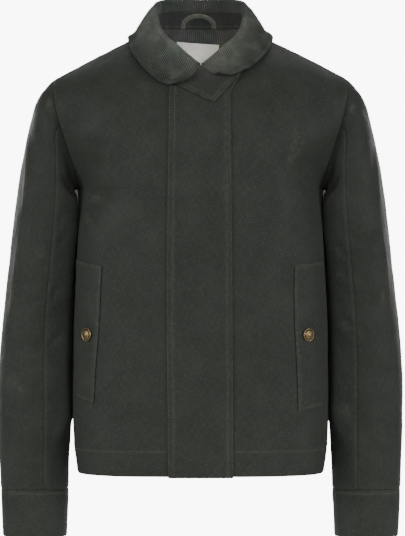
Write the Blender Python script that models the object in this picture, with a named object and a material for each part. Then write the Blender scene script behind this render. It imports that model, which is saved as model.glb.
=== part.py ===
"""Waxed cotton jacket with a corduroy collar, filled out as on a wearer, hollow inside.

Lengths below are in millimetres and become metres when a mesh is made. +Z is up, the
front faces -Y, and +X is the wearer's left. The origin is the middle of the neck seam,
at the height where that seam meets the shoulder seams: the place where the wearer's
neck and shoulders carry the jacket.
"""
import math

import bmesh
import bpy
from mathutils import Vector
from mathutils.bvhtree import BVHTree

MM = 0.001

# Cloth walls
SHELL_WALL = 1.6          # waxed cotton with its seam turnings
HEM_WALL = 2.8            # the hem, where the cloth is turned up inside
CUFF_WALL = 2.4
FLAP_WALL = 2.0
TAB_WALL = 1.8
WELT_WALL = 2.0
STAND_WALL = 2.0
FALL_WALL = 3.0           # two layers of corduroy
FACING_WALL = 1.2
LABEL_WALL = 1.0
SEAM_GAP = 0.3
STAND_INSET = 0.8         # the collar stand's own share of its gap, with the neck's bend
LAY_GAP = 0.5             # between a piece and the one that it lies on
FALL_GAP = 3.6            # between the collar's fall and the shoulders, at its grid points
TAB_GAP = 0.8             # between the throat tab and the storm flap
SLEEVE_INSET = 0.5        # the sleeve's two pieces, whose seams run into the armhole
FIRST_RAY = -400.0        # in front of the whole jacket
NECK_RAY = -40.0          # inside the neck, before its back

# Body
HEM = -617.0
HEM_TURN = 35.0
UNDERARM = -225.0
CHEST = -150.0            # above this height the panels curve back over the shoulders
SIDE_POWER = 3.2          # squareness of the body's sections
CHEST_POWER = 3.6         # flatness of the chest between the armholes
CHEST_BLEND = -300.0
BODY = (
    # height, half width, front depth, back depth
    (-617, 172.0, 112, 108),
    (-598, 175.0, 112.5, 108),
    (-570, 178.0, 113, 109),
    (-530, 179.0, 114, 109.5),
    (-480, 179.0, 115, 110),
    (-400, 177.5, 117, 109),
    (-330, 173.5, 119, 107),
    (-280, 171.5, 120, 107),
    (-225, 172.5, 119, 109),
    (-197, 176.0, 117, 110),
    (-171, 183.0, 114, 110),
    (-150, 190.0, 111, 109),
)
ARMHOLE_FRONT = 50.0      # how far the armhole reaches in front of the side seam
ARMHOLE_BACK = 62.0
ARMHOLE_SOFT = 3.0        # how gently the cloth at the middle leaves the side
ARMHOLE_NEAR = 6          # how near to the armhole its own round shape holds
NECK_HALF = 70.0
NECK_CENTRE = -8.0
NECK_BACK = 70.0
NECK_FRONT = 78.0
NECK_RISE = 3.0
NECK_DROP = 62.0
SHOULDER_HALF = 201.0
SHOULDER_SLOPE = 0.5
SHOULDER_ROLL = 3.0
SHOULDER_POINT_Y = -4.0
RISE_FRONT = (
    # share of the width from the centre, degrees that the cloth still climbs at the seam,
    # fullness of its curve
    (0.0, 60, 1.17),
    (0.5, 14, 1.17),
    (1.0, 0, 1.17),
)
RISE_BACK = (
    (0.0, 44, 1.1),
    (0.5, 28, 1.1),
    (1.0, 0, 1.17),
)
YOKE_PASSES = 10
YOKE_LEAD = 4.0           # the curve sets out in the direction of this last stretch
ARMHOLE_LEAN = 0.3        # how much the armhole turns in toward the shoulder point

NECK_COLS = 7
SHOULDER_COLS = 7
NECK_TURN = 20.0          # degrees of the lower sections that lie under the neck's columns
BODY_COLS = NECK_COLS + SHOULDER_COLS
HEM_ROWS = 2
WAIST_ROWS = 11
ARMPIT_ROWS = 5
YOKE_ROWS = 8
ARMHOLE_ROWS = ARMPIT_ROWS + YOKE_ROWS

# Sleeve, the wearer's left
SLEEVE = (
    # outer x, outer z, inner x, inner z, front y, back y
    (201.0, -68, 172.5, -225, -50, 62),
    (210.5, -77, 176.2, -225.6, -53, 65),
    (222.0, -91, 175.6, -229, -55, 69),
    (230.5, -107, 174.4, -235, -56, 72),
    (237.5, -130, 174.2, -245, -56.5, 75),
    (245.0, -162, 174.0, -255, -57, 77),
    (252.5, -200, 173.2, -268, -56.5, 78),
    (259.0, -242, 173.0, -288, -55.5, 78),
    (265.0, -288, 174.0, -312, -54, 77),
    (269.5, -330, 176.0, -340, -52.5, 75),
    (274.0, -372, 179.5, -374, -51, 71),
    (278.5, -415, 181.0, -415, -50, 66),
    (281.5, -458, 181.5, -458, -49, 59),
    (283.0, -500, 181.0, -500, -48, 52),
    (283.0, -542, 180.8, -542, -46, 45),
    (282.5, -582, 181.8, -582, -44, 38),
    (281.0, -612, 183.2, -612, -42, 33),
    (280.0, -641, 184.0, -641, -40.5, 29),
)
CUFF = (
    (280.0, -641, 184.0, -641, -40.5, 29),
    (279.8, -645, 184.0, -645, -40.8, 29),
    (278.5, -673, 185.2, -673, -40, 27),
    (276.8, -707, 186.5, -707, -39, 25),
)
SLEEVE_POWER = 2.6
SLEEVE_COLS = 2 * ARMHOLE_ROWS
SLEEVE_SEAM = 7           # columns from the top of the armhole to each sleeve seam
SEAM_SHIFT = 5.0          # degrees that the seams sit past an even spacing
CAP_RINGS = 6             # rings over which the armhole's own shape eases out
SLEEVE_CLEAR = 1.2        # between the hanging sleeve and the body's side
WELT_CLEAR = 3.4          # more of it in front, where the pocket welts lie
HUG_FROM = -227.5       # heights between which the sleeve lies against the body
HUG_FULL = -236.0
HUG_END = -545.0
HUG_GONE = -585.0
HUG_ACROSS = 0.35         # the share of the sleeve's inner half that stays round
HUG_SPAN = 0.4
WELT_FROM = -8.0          # depths over which the welts' clearance sets in
WELT_SPAN = 16.0
WELT_OVER = -312.0        # above this height nothing lies between the front and the sleeve
WELT_OVER_SPAN = 12.0

# Collar, the wearer's left half; the right half mirrors it
COLLAR = (
    # degrees round the neck from centre back, fold x, y, z, outer edge x, y, z, how far the
    # fall swells between them, width of the roll at its top
    (0, 0, 62, 45, 0, 92, -14, 3.0, 9.0),
    (25, 33, 56, 45, 46, 84, -14, 4.0, 10.5),
    (50, 52, 38, 42, 76, 58, -13, 3.5, 14.0),
    (75, 57, 12, 33, 97, 20, -12, 1.5, 16.0),
    (95, 57, -14, 16, 99, -14, -16, 4.0, 13.5),
    (115, 52, -38, -2, 95, -42, -33, 5.0, 10.0),
    (133, 43, -58, -15, 83, -65, -56, 3.0, 9.0),
    (150, 31, -72, -25, 65, -82, -74, 1.0, 8.5),
    (165, 16, -80, -39, 45, -92, -84, -2.5, 6.5),
    (180, 0.4, -84, -52, 26, -99, -79, -7.0, 4.5),
)
STAND_SHARE = 0.6         # of the way from the neck seam to the fold
ROLL_RISE = 1.5
ROLL_DROP = 5.0
ROLL_STEEP = 0.55         # at most so much drop to the roll's width
ROLL_SWELL = 0.35         # the share of the fall's swell that its roll takes
FALL_STEPS = (1, 1, 1, 2, 2, 3)
FALL_LAID_FROM = 4        # rows from the fold on that lie on the shoulders
FALL_CALM = 0.35          # how much each pass evens the fall out
FALL_PASSES = 3
LEAF_END_STEPS = 2        # stations a neck column near the leaf's end
LEAF_END_FROM = 4         # neck columns from centre front that are stepped so
LEFT_LEAF_SHIFT = Vector((1.0, 0.0, 15.0))
LEFT_LEAF_FROM = 95.0
LEFT_LEAF_FULL = 150.0

# Storm flap over the centre front
FLAP = (
    # height, edge on the wearer's right, edge on the wearer's left
    (-618.5, -44.0, 44.5),
    (-380, -46.0, 43.5),
    (-100, -43.0, 41.0),
    (-88, -42.5, 41.5),
    (-74, -42.0, 50.0),
    (-66, -41.5, 55.0),
)
FLAP_TOP_DIP = 11.0       # the flap's top runs this far down from its ends to the middle
FLAP_DIP_FROM = -120.0
FLAP_DIP_SPAN = 54.0
FLAP_DIP_HALF = 55.0
FLAP_CROWDING = 1.35      # more than 1 brings the rows closer together toward the top
FLAP_ROWS = 24
FLAP_COLS = 6
FRONT_LIMIT = -30.0       # what lies further back than this isn't the front
SPOT_STEPS = 24
CENTRE_CLEAR = 3.0        # the fronts and the stand meet at the centre with a small gap

# Throat tab: corners in the front view, x and z
TAB_LEFT = (-44.0, -77.0)
TAB_TIP = (18.0, -107.0)
TAB_RIGHT = (58.0, -63.0)
TAB_TOP = (-2.0, -53.0)
TAB_STEPS = 10
TAB_PASSES = 4            # how stiffly the tab bridges the steps under it

# Pocket welts, each as on the wearer's left
WELT = {
    "left": (
        # height, x of the sewn edge, x of the free edge
        (-529, 133.6, 167.0),
        (-459, 131.4, 169.0),
        (-418, 129.4, 166.5),
        (-377, 128.0, 166.0),
        (-326, 128.0, 168.0),
    ),
    "right": (
        (-519, 146.5, 171.5),
        (-474, 144.0, 172.0),
        (-415, 139.0, 171.0),
        (-377, 137.0, 170.5),
        (-326, 134.5, 170.5),
    ),
}
WELT_ENDS = {
    # height of the sewn edge's top and how much higher the free edge's is, the same below
    "left": (-327.5, 4.5, -528.5, 9.0),
    "right": (-329.0, 8.5, -518.5, 11.5),
}
WELT_PINCH = 9.0          # the snap pulls the free edge in
WELT_PINCH_REACH = 16.0
WELT_ROWS = 14
WELT_COLS = 5
SNAP_X = {"left": 146.0, "right": 154.2}
SNAP_Z = -423.5
SNAP_PROFILE = (
    # radius, height
    (0.0, 3.6),
    (4.2, 3.2),
    (6.4, 2.3),
    (7.3, 1.4),
    (7.7, 1.2),
    (8.3, 1.6),
    (8.9, 1.4),
    (9.1, 0.7),
    (9.0, 0.0),
    (0.0, 0.0),
)
SNAP_STEPS = 20

# Back neck
FACING_ROWS = 5
FACING_SHOULDER_COLS = 2
LABEL_SIZE = (60.0, 38.0)
LABEL_MIDDLE = (-5.0, -34.5)
LABEL_TILT = math.radians(-4)
LABEL_ROWS = 4
LABEL_COLS = 6
LOOP_MIDDLE = -3.0
LOOP_HALF = 22.0
LOOP_FOOT = 4.5
LOOP_RISE = 18.5
LOOP_STRIP = 6.0
LOOP_WALL = 1.6
LOOP_STEPS = 14

WAXED = ("waxed cotton", (0.036, 0.039, 0.034, 1), 0.62, 0.0)
CORDUROY = ("corduroy", (0.055, 0.061, 0.052, 1), 0.95, 0.0)
WOVEN_LABEL = ("woven label", (0.83, 0.83, 0.81, 1), 0.8, 0.0)
BRASS = ("antique brass", (0.20, 0.13, 0.06, 1), 0.42, 1.0)


def lerp(a, b, share):
    return a + (b - a) * share


def ease(share):
    """0 to 1 with level ends."""
    share = min(max(share, 0.0), 1.0)
    return share * share * (3 - 2 * share)


def hermite(start, start_slope, end, end_slope, t):
    return (
        start * (2 * t ** 3 - 3 * t ** 2 + 1)
        + start_slope * (t ** 3 - 2 * t ** 2 + t)
        + end * (3 * t ** 2 - 2 * t ** 3)
        + end_slope * (t ** 3 - t ** 2)
    )


def along(table, at):
    """The columns of a table at a place in its first column, on a smooth curve."""
    last = len(table) - 2
    k = min(max(sum(row[0] <= at for row in table) - 1, 0), last)
    here, there = table[k], table[k + 1]
    before, after = table[max(k - 1, 0)], table[min(k + 2, last + 1)]
    span = there[0] - here[0]
    t = min(max((at - here[0]) / span, 0.0), 1.0)
    values = []
    for c in range(1, len(here)):
        slope_here = span * (there[c] - before[c]) / (there[0] - before[0])
        slope_there = span * (after[c] - here[c]) / (after[0] - here[0])
        values.append(hermite(here[c], slope_here, there[c], slope_there, t))
    return values


def through(points, counts):
    """Points on a smooth curve through points, with the steps that counts gives each stretch."""
    curve = []
    for k, count in enumerate(counts):
        before = points[max(k - 1, 0)]
        here, there = points[k], points[k + 1]
        after = points[min(k + 2, len(points) - 1)]
        reach = (there - here).length
        slope_here = (there - before).normalized() * reach
        slope_there = (after - here).normalized() * reach
        for step in range(count):
            curve.append(hermite(here, slope_here, there, slope_there, step / count))
    curve.append(points[-1].copy())
    return curve


# A sheet is a grid of points on the outside of the cloth, row by row, with the outward
# direction at each point. A sheet that wraps joins its last column to its first.


class Sheet:
    def __init__(self, points, turn=1, wrap=False):
        self.points = points
        self.wrap = wrap
        self.normals = [
            [self.outward(r, c) * turn for c in range(len(row))]
            for r, row in enumerate(points)
        ]

    def step(self, r, c, rows):
        """The direction across the grid at a point, along its column or along its row."""
        grid = self.points
        if rows:
            return grid[min(r + 1, len(grid) - 1)][c] - grid[max(r - 1, 0)][c]
        cols = len(grid[0])
        if self.wrap:
            return grid[r][(c + 1) % cols] - grid[r][(c - 1) % cols]
        return grid[r][min(c + 1, cols - 1)] - grid[r][max(c - 1, 0)]

    def outward(self, r, c):
        return self.step(r, c, False).cross(self.step(r, c, True)).normalized()

    def mirrored(self):
        twin = Sheet.__new__(Sheet)
        flip = Vector((-1, 1, 1))
        twin.points = [[p * flip for p in row] for row in self.points]
        twin.normals = [[n * flip for n in row] for row in self.normals]
        twin.wrap = self.wrap
        return twin

    def part(self, rows, cols):
        """A piece of the sheet, cut out by its rows and columns."""
        piece = Sheet.__new__(Sheet)
        piece.points = [[self.points[r][c].copy() for c in cols] for r in rows]
        piece.normals = [[self.normals[r][c].copy() for c in cols] for r in rows]
        piece.wrap = False
        return piece

    def edge_points(self):
        """Row, column and the neighbour inside, once for each edge that a point is on."""
        rows, cols = len(self.points), len(self.points[0])
        for c in range(cols):
            yield 0, c, 1, c
            yield rows - 1, c, rows - 2, c
        if not self.wrap:
            for r in range(rows):
                yield r, 0, r, 1
                yield r, cols - 1, r, cols - 2

    def edge_stretches(self, r, c, rows):
        """The stretches of edge on each side of a point, along its column or its row."""
        grid = self.points
        if rows:
            places = [(r - 1, c), (r + 1, c)]
        elif self.wrap:
            places = [(r, (c - 1) % len(grid[0])), (r, (c + 1) % len(grid[0]))]
        else:
            places = [(r, c - 1), (r, c + 1)]
        for side, (i, j) in zip((-1, 1), places):
            if 0 <= i < len(grid) and 0 <= j < len(grid[0]):
                yield (grid[i][j] - grid[r][c]) * side

    def inset(self, distance):
        """Draws each edge back along the cloth, which leaves a narrow gap at every seam."""
        moves = []
        for r, c, inner_r, inner_c in self.edge_points():
            inside = self.points[inner_r][inner_c] - self.points[r][c]
            sides = []
            for stretch in self.edge_stretches(r, c, rows=(r == inner_r)):
                across = self.normals[r][c].cross(stretch).normalized()
                sides.append(across if across.dot(inside) > 0 else -across)
            middle = sum(sides, Vector()).normalized()
            mitre = max(middle.dot(sides[0]), 0.5)
            moves.append((r, c, middle * distance / mitre))
        for r, c, move in moves:
            self.points[r][c] = self.points[r][c] + move
        return self

    def moved_out(self, distance):
        return [
            [p + n * distance for p, n in zip(row, normals)]
            for row, normals in zip(self.points, self.normals)
        ]


def share_normals(sheets):
    """Gives points that sheets have in common one direction, so seam faces lie side by side."""
    totals = {}
    for sheet in sheets:
        for row, normals in zip(sheet.points, sheet.normals):
            for point, normal in zip(row, normals):
                key = tuple(round(v * 20) for v in point)
                totals[key] = totals.get(key, Vector()) + normal
    for sheet in sheets:
        for row, normals in zip(sheet.points, sheet.normals):
            for c, point in enumerate(row):
                key = tuple(round(v * 20) for v in point)
                normals[c] = totals[key].normalized()


def surface_tree(grids):
    """A search tree over grids of points, for laying one piece on others."""
    points = []
    faces = []
    for grid in grids:
        start = len(points)
        cols = len(grid[0])
        for row in grid:
            points.extend(row)
        for r in range(len(grid) - 1):
            for c in range(cols - 1):
                corner = start + r * cols + c
                faces.append((corner, corner + 1, corner + cols + 1, corner + cols))
    return BVHTree.FromPolygons(points, faces)


def material(kind):
    name, colour, roughness, metallic = kind
    if name in bpy.data.materials:
        return bpy.data.materials[name]
    made = bpy.data.materials.new(name)
    made.use_nodes = True
    shader = made.node_tree.nodes["Principled BSDF"]
    shader.inputs["Base Color"].default_value = colour
    shader.inputs["Roughness"].default_value = roughness
    shader.inputs["Metallic"].default_value = metallic
    made.diffuse_color = colour
    return made


def add_object(name, bm, kind):
    bmesh.ops.scale(bm, vec=(MM, MM, MM), verts=bm.verts)
    bmesh.ops.recalc_face_normals(bm, faces=bm.faces)
    mesh = bpy.data.meshes.new(name)
    bm.to_mesh(mesh)
    bm.free()
    mesh.shade_smooth()
    mesh.set_sharp_from_angle(angle=math.radians(40))
    mesh.materials.append(material(kind))
    bpy.context.scene.collection.objects.link(bpy.data.objects.new(name, mesh))


def add_cloth(name, outer, inner, kind, wrap=False):
    """A closed cloth solid between two grids of points."""
    bm = bmesh.new()
    rows, cols = len(outer), len(outer[0])
    faces_on = [
        [[bm.verts.new(p) for p in row] for row in grid]
        for grid in (outer, inner)
    ]
    out, back = faces_on
    last = cols if wrap else cols - 1
    for r in range(rows - 1):
        for c in range(last):
            n = (c + 1) % cols
            bm.faces.new((out[r][c], out[r][n], out[r + 1][n], out[r + 1][c]))
            bm.faces.new((back[r][c], back[r + 1][c], back[r + 1][n], back[r][n]))
    for c in range(last):
        n = (c + 1) % cols
        bm.faces.new((out[0][c], back[0][c], back[0][n], out[0][n]))
        bm.faces.new((out[-1][c], out[-1][n], back[-1][n], back[-1][c]))
    if not wrap:
        for r in range(rows - 1):
            bm.faces.new((out[r][0], out[r + 1][0], back[r + 1][0], back[r][0]))
            bm.faces.new((out[r][-1], back[r][-1], back[r + 1][-1], out[r + 1][-1]))
    # Both faces are split along the same diagonals, so the wall keeps its thickness
    bmesh.ops.triangulate(bm, faces=bm.faces, quad_method="FIXED")
    add_object(name, bm, kind)


def add_sheet(name, sheet, wall, kind):
    """Closes a sheet into a wall; wall is one thickness or one for each row."""
    walls = wall if isinstance(wall, list) else [wall] * len(sheet.points)
    inner = [
        [p - n * thick for p, n in zip(row, normals)]
        for row, normals, thick in zip(sheet.points, sheet.normals, walls)
    ]
    add_cloth(name, sheet.points, inner, kind, sheet.wrap)


# Body


def neck_seam(degrees):
    """A point on the neck seam, from centre back at 0 to centre front at 180."""
    angle = math.radians(degrees)
    forward = math.cos(angle)
    depth, height = (NECK_BACK, NECK_RISE) if forward > 0 else (NECK_FRONT, NECK_DROP)
    return Vector((
        NECK_HALF * math.sin(angle),
        NECK_CENTRE + depth * forward,
        height * forward,
    ))


def shoulder_seam(share):
    """A point on the shoulder seam, from the neck to the armhole."""
    x = lerp(NECK_HALF, SHOULDER_HALF, share)
    drop = SHOULDER_SLOPE * (x - NECK_HALF) + SHOULDER_ROLL * share ** 6
    return Vector((x, lerp(NECK_CENTRE, SHOULDER_POINT_Y, share), -drop))


def top_edge(column, is_back):
    if column > NECK_COLS:
        return shoulder_seam((column - NECK_COLS) / SHOULDER_COLS)
    turn = 90 * column / NECK_COLS
    return neck_seam(turn if is_back else 180 - turn)


def section_turn(column):
    """Degrees round a lower section at a column."""
    if column <= NECK_COLS:
        return NECK_TURN * column / NECK_COLS
    return lerp(NECK_TURN, 90, (column - NECK_COLS) / SHOULDER_COLS)


def section_share(column):
    """Share of the width across the chest at a column."""
    at_neck = NECK_HALF / SHOULDER_HALF
    if column <= NECK_COLS:
        return at_neck * column / NECK_COLS
    return lerp(at_neck, 1, (column - NECK_COLS) / SHOULDER_COLS)


def section_point(z, turn, share, is_back):
    """A point of the body at a height, for a turn round the section or a share of its width."""
    half, front, back = along(BODY, z)
    depth = back if is_back else front
    reach = ARMHOLE_BACK if is_back else ARMHOLE_FRONT
    below = min(max((z - CHEST) / (UNDERARM - CHEST), 0.0), 1.0)
    # The armhole itself is round; the cloth further in leaves the side more gently
    edge = reach * (1 - below ** 2) ** lerp(ARMHOLE_SOFT, 0.5, share ** ARMHOLE_NEAR)
    sine = math.sin(math.radians(turn))
    cosine = max(math.cos(math.radians(turn)), 0.0)
    round_x = half * sine ** (2 / SIDE_POWER)
    round_y = edge + (depth - edge) * cosine ** (2 / SIDE_POWER)
    flat_x = half * share
    flat_y = edge + (depth - edge) * (1 - share ** CHEST_POWER)
    blend = ease((z - CHEST_BLEND) / (CHEST - CHEST_BLEND))
    y = lerp(round_y, flat_y, blend)
    return Vector((lerp(round_x, flat_x, blend), y if is_back else -y, z))


def body_heights():
    turn_top = HEM + HEM_TURN
    heights = [lerp(HEM, turn_top, k / HEM_ROWS) for k in range(HEM_ROWS + 1)]
    step_top = turn_top + 2.0
    heights += [lerp(step_top, UNDERARM, k / WAIST_ROWS) for k in range(WAIST_ROWS + 1)]
    for k in range(1, ARMPIT_ROWS + 1):
        turn = math.radians(90 * k / ARMPIT_ROWS)
        heights.append(lerp(CHEST, UNDERARM, math.cos(turn)))
    return heights


def body_half(is_back):
    """Half of the front or the back, from the centre to the side seam and armhole."""
    heights = body_heights()
    rows = [
        [
            section_point(z, section_turn(c), section_share(c), is_back)
            for c in range(BODY_COLS + 1)
        ]
        for z in heights
    ]
    yoke = [[] for _ in range(YOKE_ROWS)]
    for c in range(BODY_COLS + 1):
        turn, share = section_turn(c), section_share(c)
        start = section_point(CHEST, turn, share, is_back)
        below = section_point(CHEST - YOKE_LEAD, turn, share, is_back)
        end = top_edge(c, is_back)
        climb, fullness = along(RISE_BACK if is_back else RISE_FRONT, c / BODY_COLS)
        reach = fullness * (end - start).length
        rise = math.radians(climb)
        inward = -math.cos(rise) if is_back else math.cos(rise)
        lean = -ARMHOLE_LEAN * max(c - NECK_COLS, 0) / SHOULDER_COLS
        finish = Vector((lean, inward, math.sin(rise))) * reach
        begin = (start - below).normalized() * reach
        for k in range(YOKE_ROWS):
            yoke[k].append(hermite(start, begin, end, finish, (k + 1) / YOKE_ROWS))
    for k in range(len(heights)):
        rows[k][0].x = 0.0
    grid = calm_yoke(rows + yoke)
    return Sheet(grid, turn=-1 if is_back else 1)


def calm_yoke(grid):
    """Evens out the cloth over the shoulders, so the neck's corner raises no ridge in it."""
    first = len(grid) - YOKE_ROWS
    for _ in range(YOKE_PASSES):
        calm = [[p.copy() for p in row] for row in grid]
        for r in range(first, len(grid) - 1):
            share = min((r - first + 1) / 3, 1.0) / 2
            for c in range(BODY_COLS):
                beside = grid[r][c - 1] if c else grid[r][1] * Vector((-1, 1, 1))
                around = grid[r - 1][c] + grid[r + 1][c] + beside + grid[r][c + 1]
                calm[r][c] = lerp(grid[r][c], around / 4, share)
        grid = calm
    return grid


def armhole_loop(front, back):
    """The armhole from the shoulder point down its front and up its back."""
    top = len(front.points) - 1
    down = [front.points[top - k][-1] for k in range(ARMHOLE_ROWS + 1)]
    up = [back.points[top - k][-1] for k in range(ARMHOLE_ROWS - 1, 0, -1)]
    return down + up


def body_walls(sheet):
    return [
        HEM_WALL if row[0].z <= HEM + HEM_TURN + 0.1 else SHELL_WALL
        for row in sheet.points
    ]


# Sleeves


def body_side_x(y, z):
    """How wide the body is at a depth, below the armholes."""
    half, front, back = along(BODY, z)
    share = min(abs(y) / (back if y > 0 else front), 1.0)
    return half * (1 - share ** SIDE_POWER) ** (1 / SIDE_POWER)


def sleeve_ring(row):
    """One ring of the sleeve from a table row, starting at its outermost point."""
    outer_x, outer_z, inner_x, inner_z, front_y, back_y = row
    outer = Vector((outer_x, 0, outer_z))
    inner = Vector((inner_x, 0, inner_z))
    middle = (outer + inner) / 2
    middle_y = (front_y + back_y) / 2
    half_depth = (back_y - front_y) / 2
    ring = []
    for c in range(SLEEVE_COLS):
        even = 360 * c / SLEEVE_COLS
        angle = math.radians(even + SEAM_SHIFT * math.sin(math.radians(even)))
        across = math.copysign(abs(math.cos(angle)) ** (2 / SLEEVE_POWER), math.cos(angle))
        deep = math.copysign(abs(math.sin(angle)) ** (2 / SLEEVE_POWER), math.sin(angle))
        point = middle + (outer - middle) * across
        point.y = middle_y - half_depth * deep
        hug = ease((HUG_FROM - point.z) / (HUG_FROM - HUG_FULL))
        hug *= ease((point.z - HUG_GONE) / (HUG_END - HUG_GONE))
        if point.z < HUG_FROM:
            past_welt = WELT_CLEAR * ease((WELT_FROM - point.y) / WELT_SPAN)
            past_welt *= ease((WELT_OVER + WELT_OVER_SPAN - point.z) / WELT_OVER_SPAN)
            side = body_side_x(point.y, point.z) + SLEEVE_CLEAR + past_welt
            press = hug * ease((-across - HUG_ACROSS) / HUG_SPAN)
            point.x = max(lerp(point.x, side, press), side)
        ring.append(point)
    return ring


def sleeve_rings(loop):
    """The whole sleeve, which leaves the armhole in the armhole's own shape."""
    rings = [sleeve_ring(row) for row in SLEEVE]
    start = rings[0]
    offsets = [a - b for a, b in zip(loop, start)]
    for k in range(CAP_RINGS):
        weight = 1 - ease(k / CAP_RINGS)
        rings[k] = [p + move * weight for p, move in zip(rings[k], offsets)]
    rings[0] = [p.copy() for p in loop]
    return rings


# Collar


def leaf_shift(degrees):
    """The wearer's left leaf sits a little higher and wider."""
    share = (degrees - LEFT_LEAF_FROM) / (LEFT_LEAF_FULL - LEFT_LEAF_FROM)
    return LEFT_LEAF_SHIFT * ease(share)


def collar_line(degrees, left):
    """Neck seam, fold and outer edge of the collar at an angle round the neck."""
    values = along(COLLAR, degrees)
    fold, edge = Vector(values[:3]), Vector(values[3:6])
    if left:
        shift = leaf_shift(degrees)
        edge += shift
        fold.x += shift.x
    return neck_seam(degrees), fold, edge


def collar_directions(seam, fold, edge):
    up = (fold - seam).normalized()
    out = Vector((edge.x - fold.x, edge.y - fold.y, 0)).normalized()
    return up, out


def stand_column(degrees, left):
    seam, fold, edge = collar_line(degrees, left)
    out = collar_directions(seam, fold, edge)[1]
    top = fold + out * STAND_WALL
    return [lerp(seam, top, STAND_SHARE * k / 2) for k in range(3)]


def both_sides(column_at, angles):
    """Columns from the wearer's right front, round the back, to the left front."""
    flip = Vector((-1, 1, 1))
    right = [[p * flip for p in column_at(a, False)] for a in reversed(angles)]
    left = [column_at(a, True) for a in angles[1:]]
    return right + left


def rows_of(columns):
    return [list(row) for row in zip(*columns)]


def fall_column(degrees, left, start):
    """The visible side of the collar's fall: up from the stand, over the fold, down outside."""
    seam, fold, edge = collar_line(degrees, left)
    up, out = collar_directions(seam, fold, edge)
    swelling, width = along(COLLAR, degrees)[-2:]
    swell = (up + out).normalized() * swelling
    drop = min(ROLL_DROP, ROLL_STEEP * width)
    down_side = fold + out * width - up * drop + swell * ROLL_SWELL
    middle = lerp(down_side, edge, 0.5) + swell
    points = [
        start + up * 2 * SEAM_GAP,
        fold - up * drop,
        fold + out * width * 0.12,
        fold + out * width * 0.5 + up * ROLL_RISE,
        down_side,
        middle,
        edge,
    ]
    return through(points, FALL_STEPS)


def fall_angles():
    """Stations of the fall in neck columns: finer where the leaf's end is rounded."""
    whole = 2 * NECK_COLS
    stations = [float(k) for k in range(whole - LEAF_END_FROM)]
    count = LEAF_END_FROM * LEAF_END_STEPS
    stations += [whole - LEAF_END_FROM + k / LEAF_END_STEPS for k in range(count + 1)]
    return stations


def lift_clear(point, tree, clearance):
    """Moves a point away from the surfaces under it until it is clear of them."""
    spot, normal, _, _ = tree.find_nearest(point)
    height = (point - spot).dot(normal)
    if height < clearance:
        return point + normal * (clearance - height)
    return point


def make_fall(stand_inner, stand_outer, tree):
    """The collar's fall, laid over the shoulders and the pieces at the throat."""
    whole = 2 * NECK_COLS
    stations = fall_angles()
    signed = [-s for s in reversed(stations)] + stations[1:]
    columns = []
    under_starts = []
    for station in signed:
        place = station + whole
        low = min(int(place), 2 * whole - 1)
        share = place - low
        inner = lerp(stand_inner[-1][low], stand_inner[-1][low + 1], share)
        outer = lerp(stand_outer[-1][low], stand_outer[-1][low + 1], share)
        left = station > 0
        flip = Vector((1 if left else -1, 1, 1))
        degrees = 180 * abs(station) / whole
        column = [p * flip for p in fall_column(degrees, left, inner * flip)]
        columns.append(column)
        seam, fold, _ = collar_line(degrees, left)
        under_starts.append(outer + (fold - seam).normalized() * flip * 2 * SEAM_GAP)
    for _ in range(FALL_PASSES):
        for column in columns:
            for k in range(FALL_LAID_FROM, len(column)):
                column[k] = lift_clear(column[k], tree, FALL_WALL + FALL_GAP)
        smoothed = [[p.copy() for p in column] for column in columns]
        for c in range(1, len(columns) - 1):
            for k in range(FALL_LAID_FROM, len(columns[c]) - 1):
                beside = (columns[c - 1][k] + columns[c + 1][k]) / 2
                smoothed[c][k] = lerp(columns[c][k], beside, FALL_CALM)
        columns = smoothed
    for column in columns:
        for k in range(FALL_LAID_FROM, len(column)):
            column[k] = lift_clear(column[k], tree, FALL_WALL + FALL_GAP)
    sheet = Sheet(rows_of(columns))
    under = sheet.moved_out(-FALL_WALL)
    under[0] = under_starts
    for r in range(FALL_LAID_FROM, len(under)):
        for c, point in enumerate(under[r]):
            move = lift_clear(point, tree, FALL_GAP) - point
            under[r][c] = point + move
            sheet.points[r][c] = sheet.points[r][c] + move
    return sheet.points, under


# Pieces laid on the fronts


def front_spot(tree, x, z):
    """Where a line from in front meets a surface; past its edge, straight on from the edge."""
    aim_x = math.copysign(max(abs(x), CENTRE_CLEAR), x)
    for step in range(SPOT_STEPS):
        for level in (z - step, z + step):
            spot = tree.ray_cast(Vector((aim_x, FIRST_RAY, level)), Vector((0, 1, 0)))[0]
            if spot and spot.y < FRONT_LIMIT:
                return Vector((x, spot.y, z))
    return None


def lay_on(tree, places, gap, wall):
    """Grids for the outer and inner faces of a piece laid on a surface, seen from the front."""
    sheet = Sheet([[front_spot(tree, x, z) for x, z in row] for row in places])
    return sheet.moved_out(gap + wall), sheet.moved_out(gap)


def flap_places():
    places = []
    for r in range(FLAP_ROWS + 1):
        share = r / FLAP_ROWS
        z = lerp(FLAP[0][0], FLAP[-1][0], 1 - (1 - share) ** FLAP_CROWDING)
        low, high = along(FLAP, z)
        row = []
        for c in range(FLAP_COLS + 1):
            x = lerp(low, high, c / FLAP_COLS)
            dip = ease((z - FLAP_DIP_FROM) / FLAP_DIP_SPAN) * FLAP_TOP_DIP
            row.append((x, z - dip * (1 - min(abs(x) / FLAP_DIP_HALF, 1) ** 2)))
        places.append(row)
    return places


def tab_places():
    places = []
    for r in range(TAB_STEPS + 1):
        up = r / TAB_STEPS
        row = []
        for c in range(TAB_STEPS + 1):
            over = c / TAB_STEPS
            x, z = (
                lerp(lerp(a, b, over), lerp(d, e, over), up)
                for a, b, d, e in zip(TAB_LEFT, TAB_TIP, TAB_TOP, TAB_RIGHT)
            )
            row.append((x, z))
        places.append(row)
    return places


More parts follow.
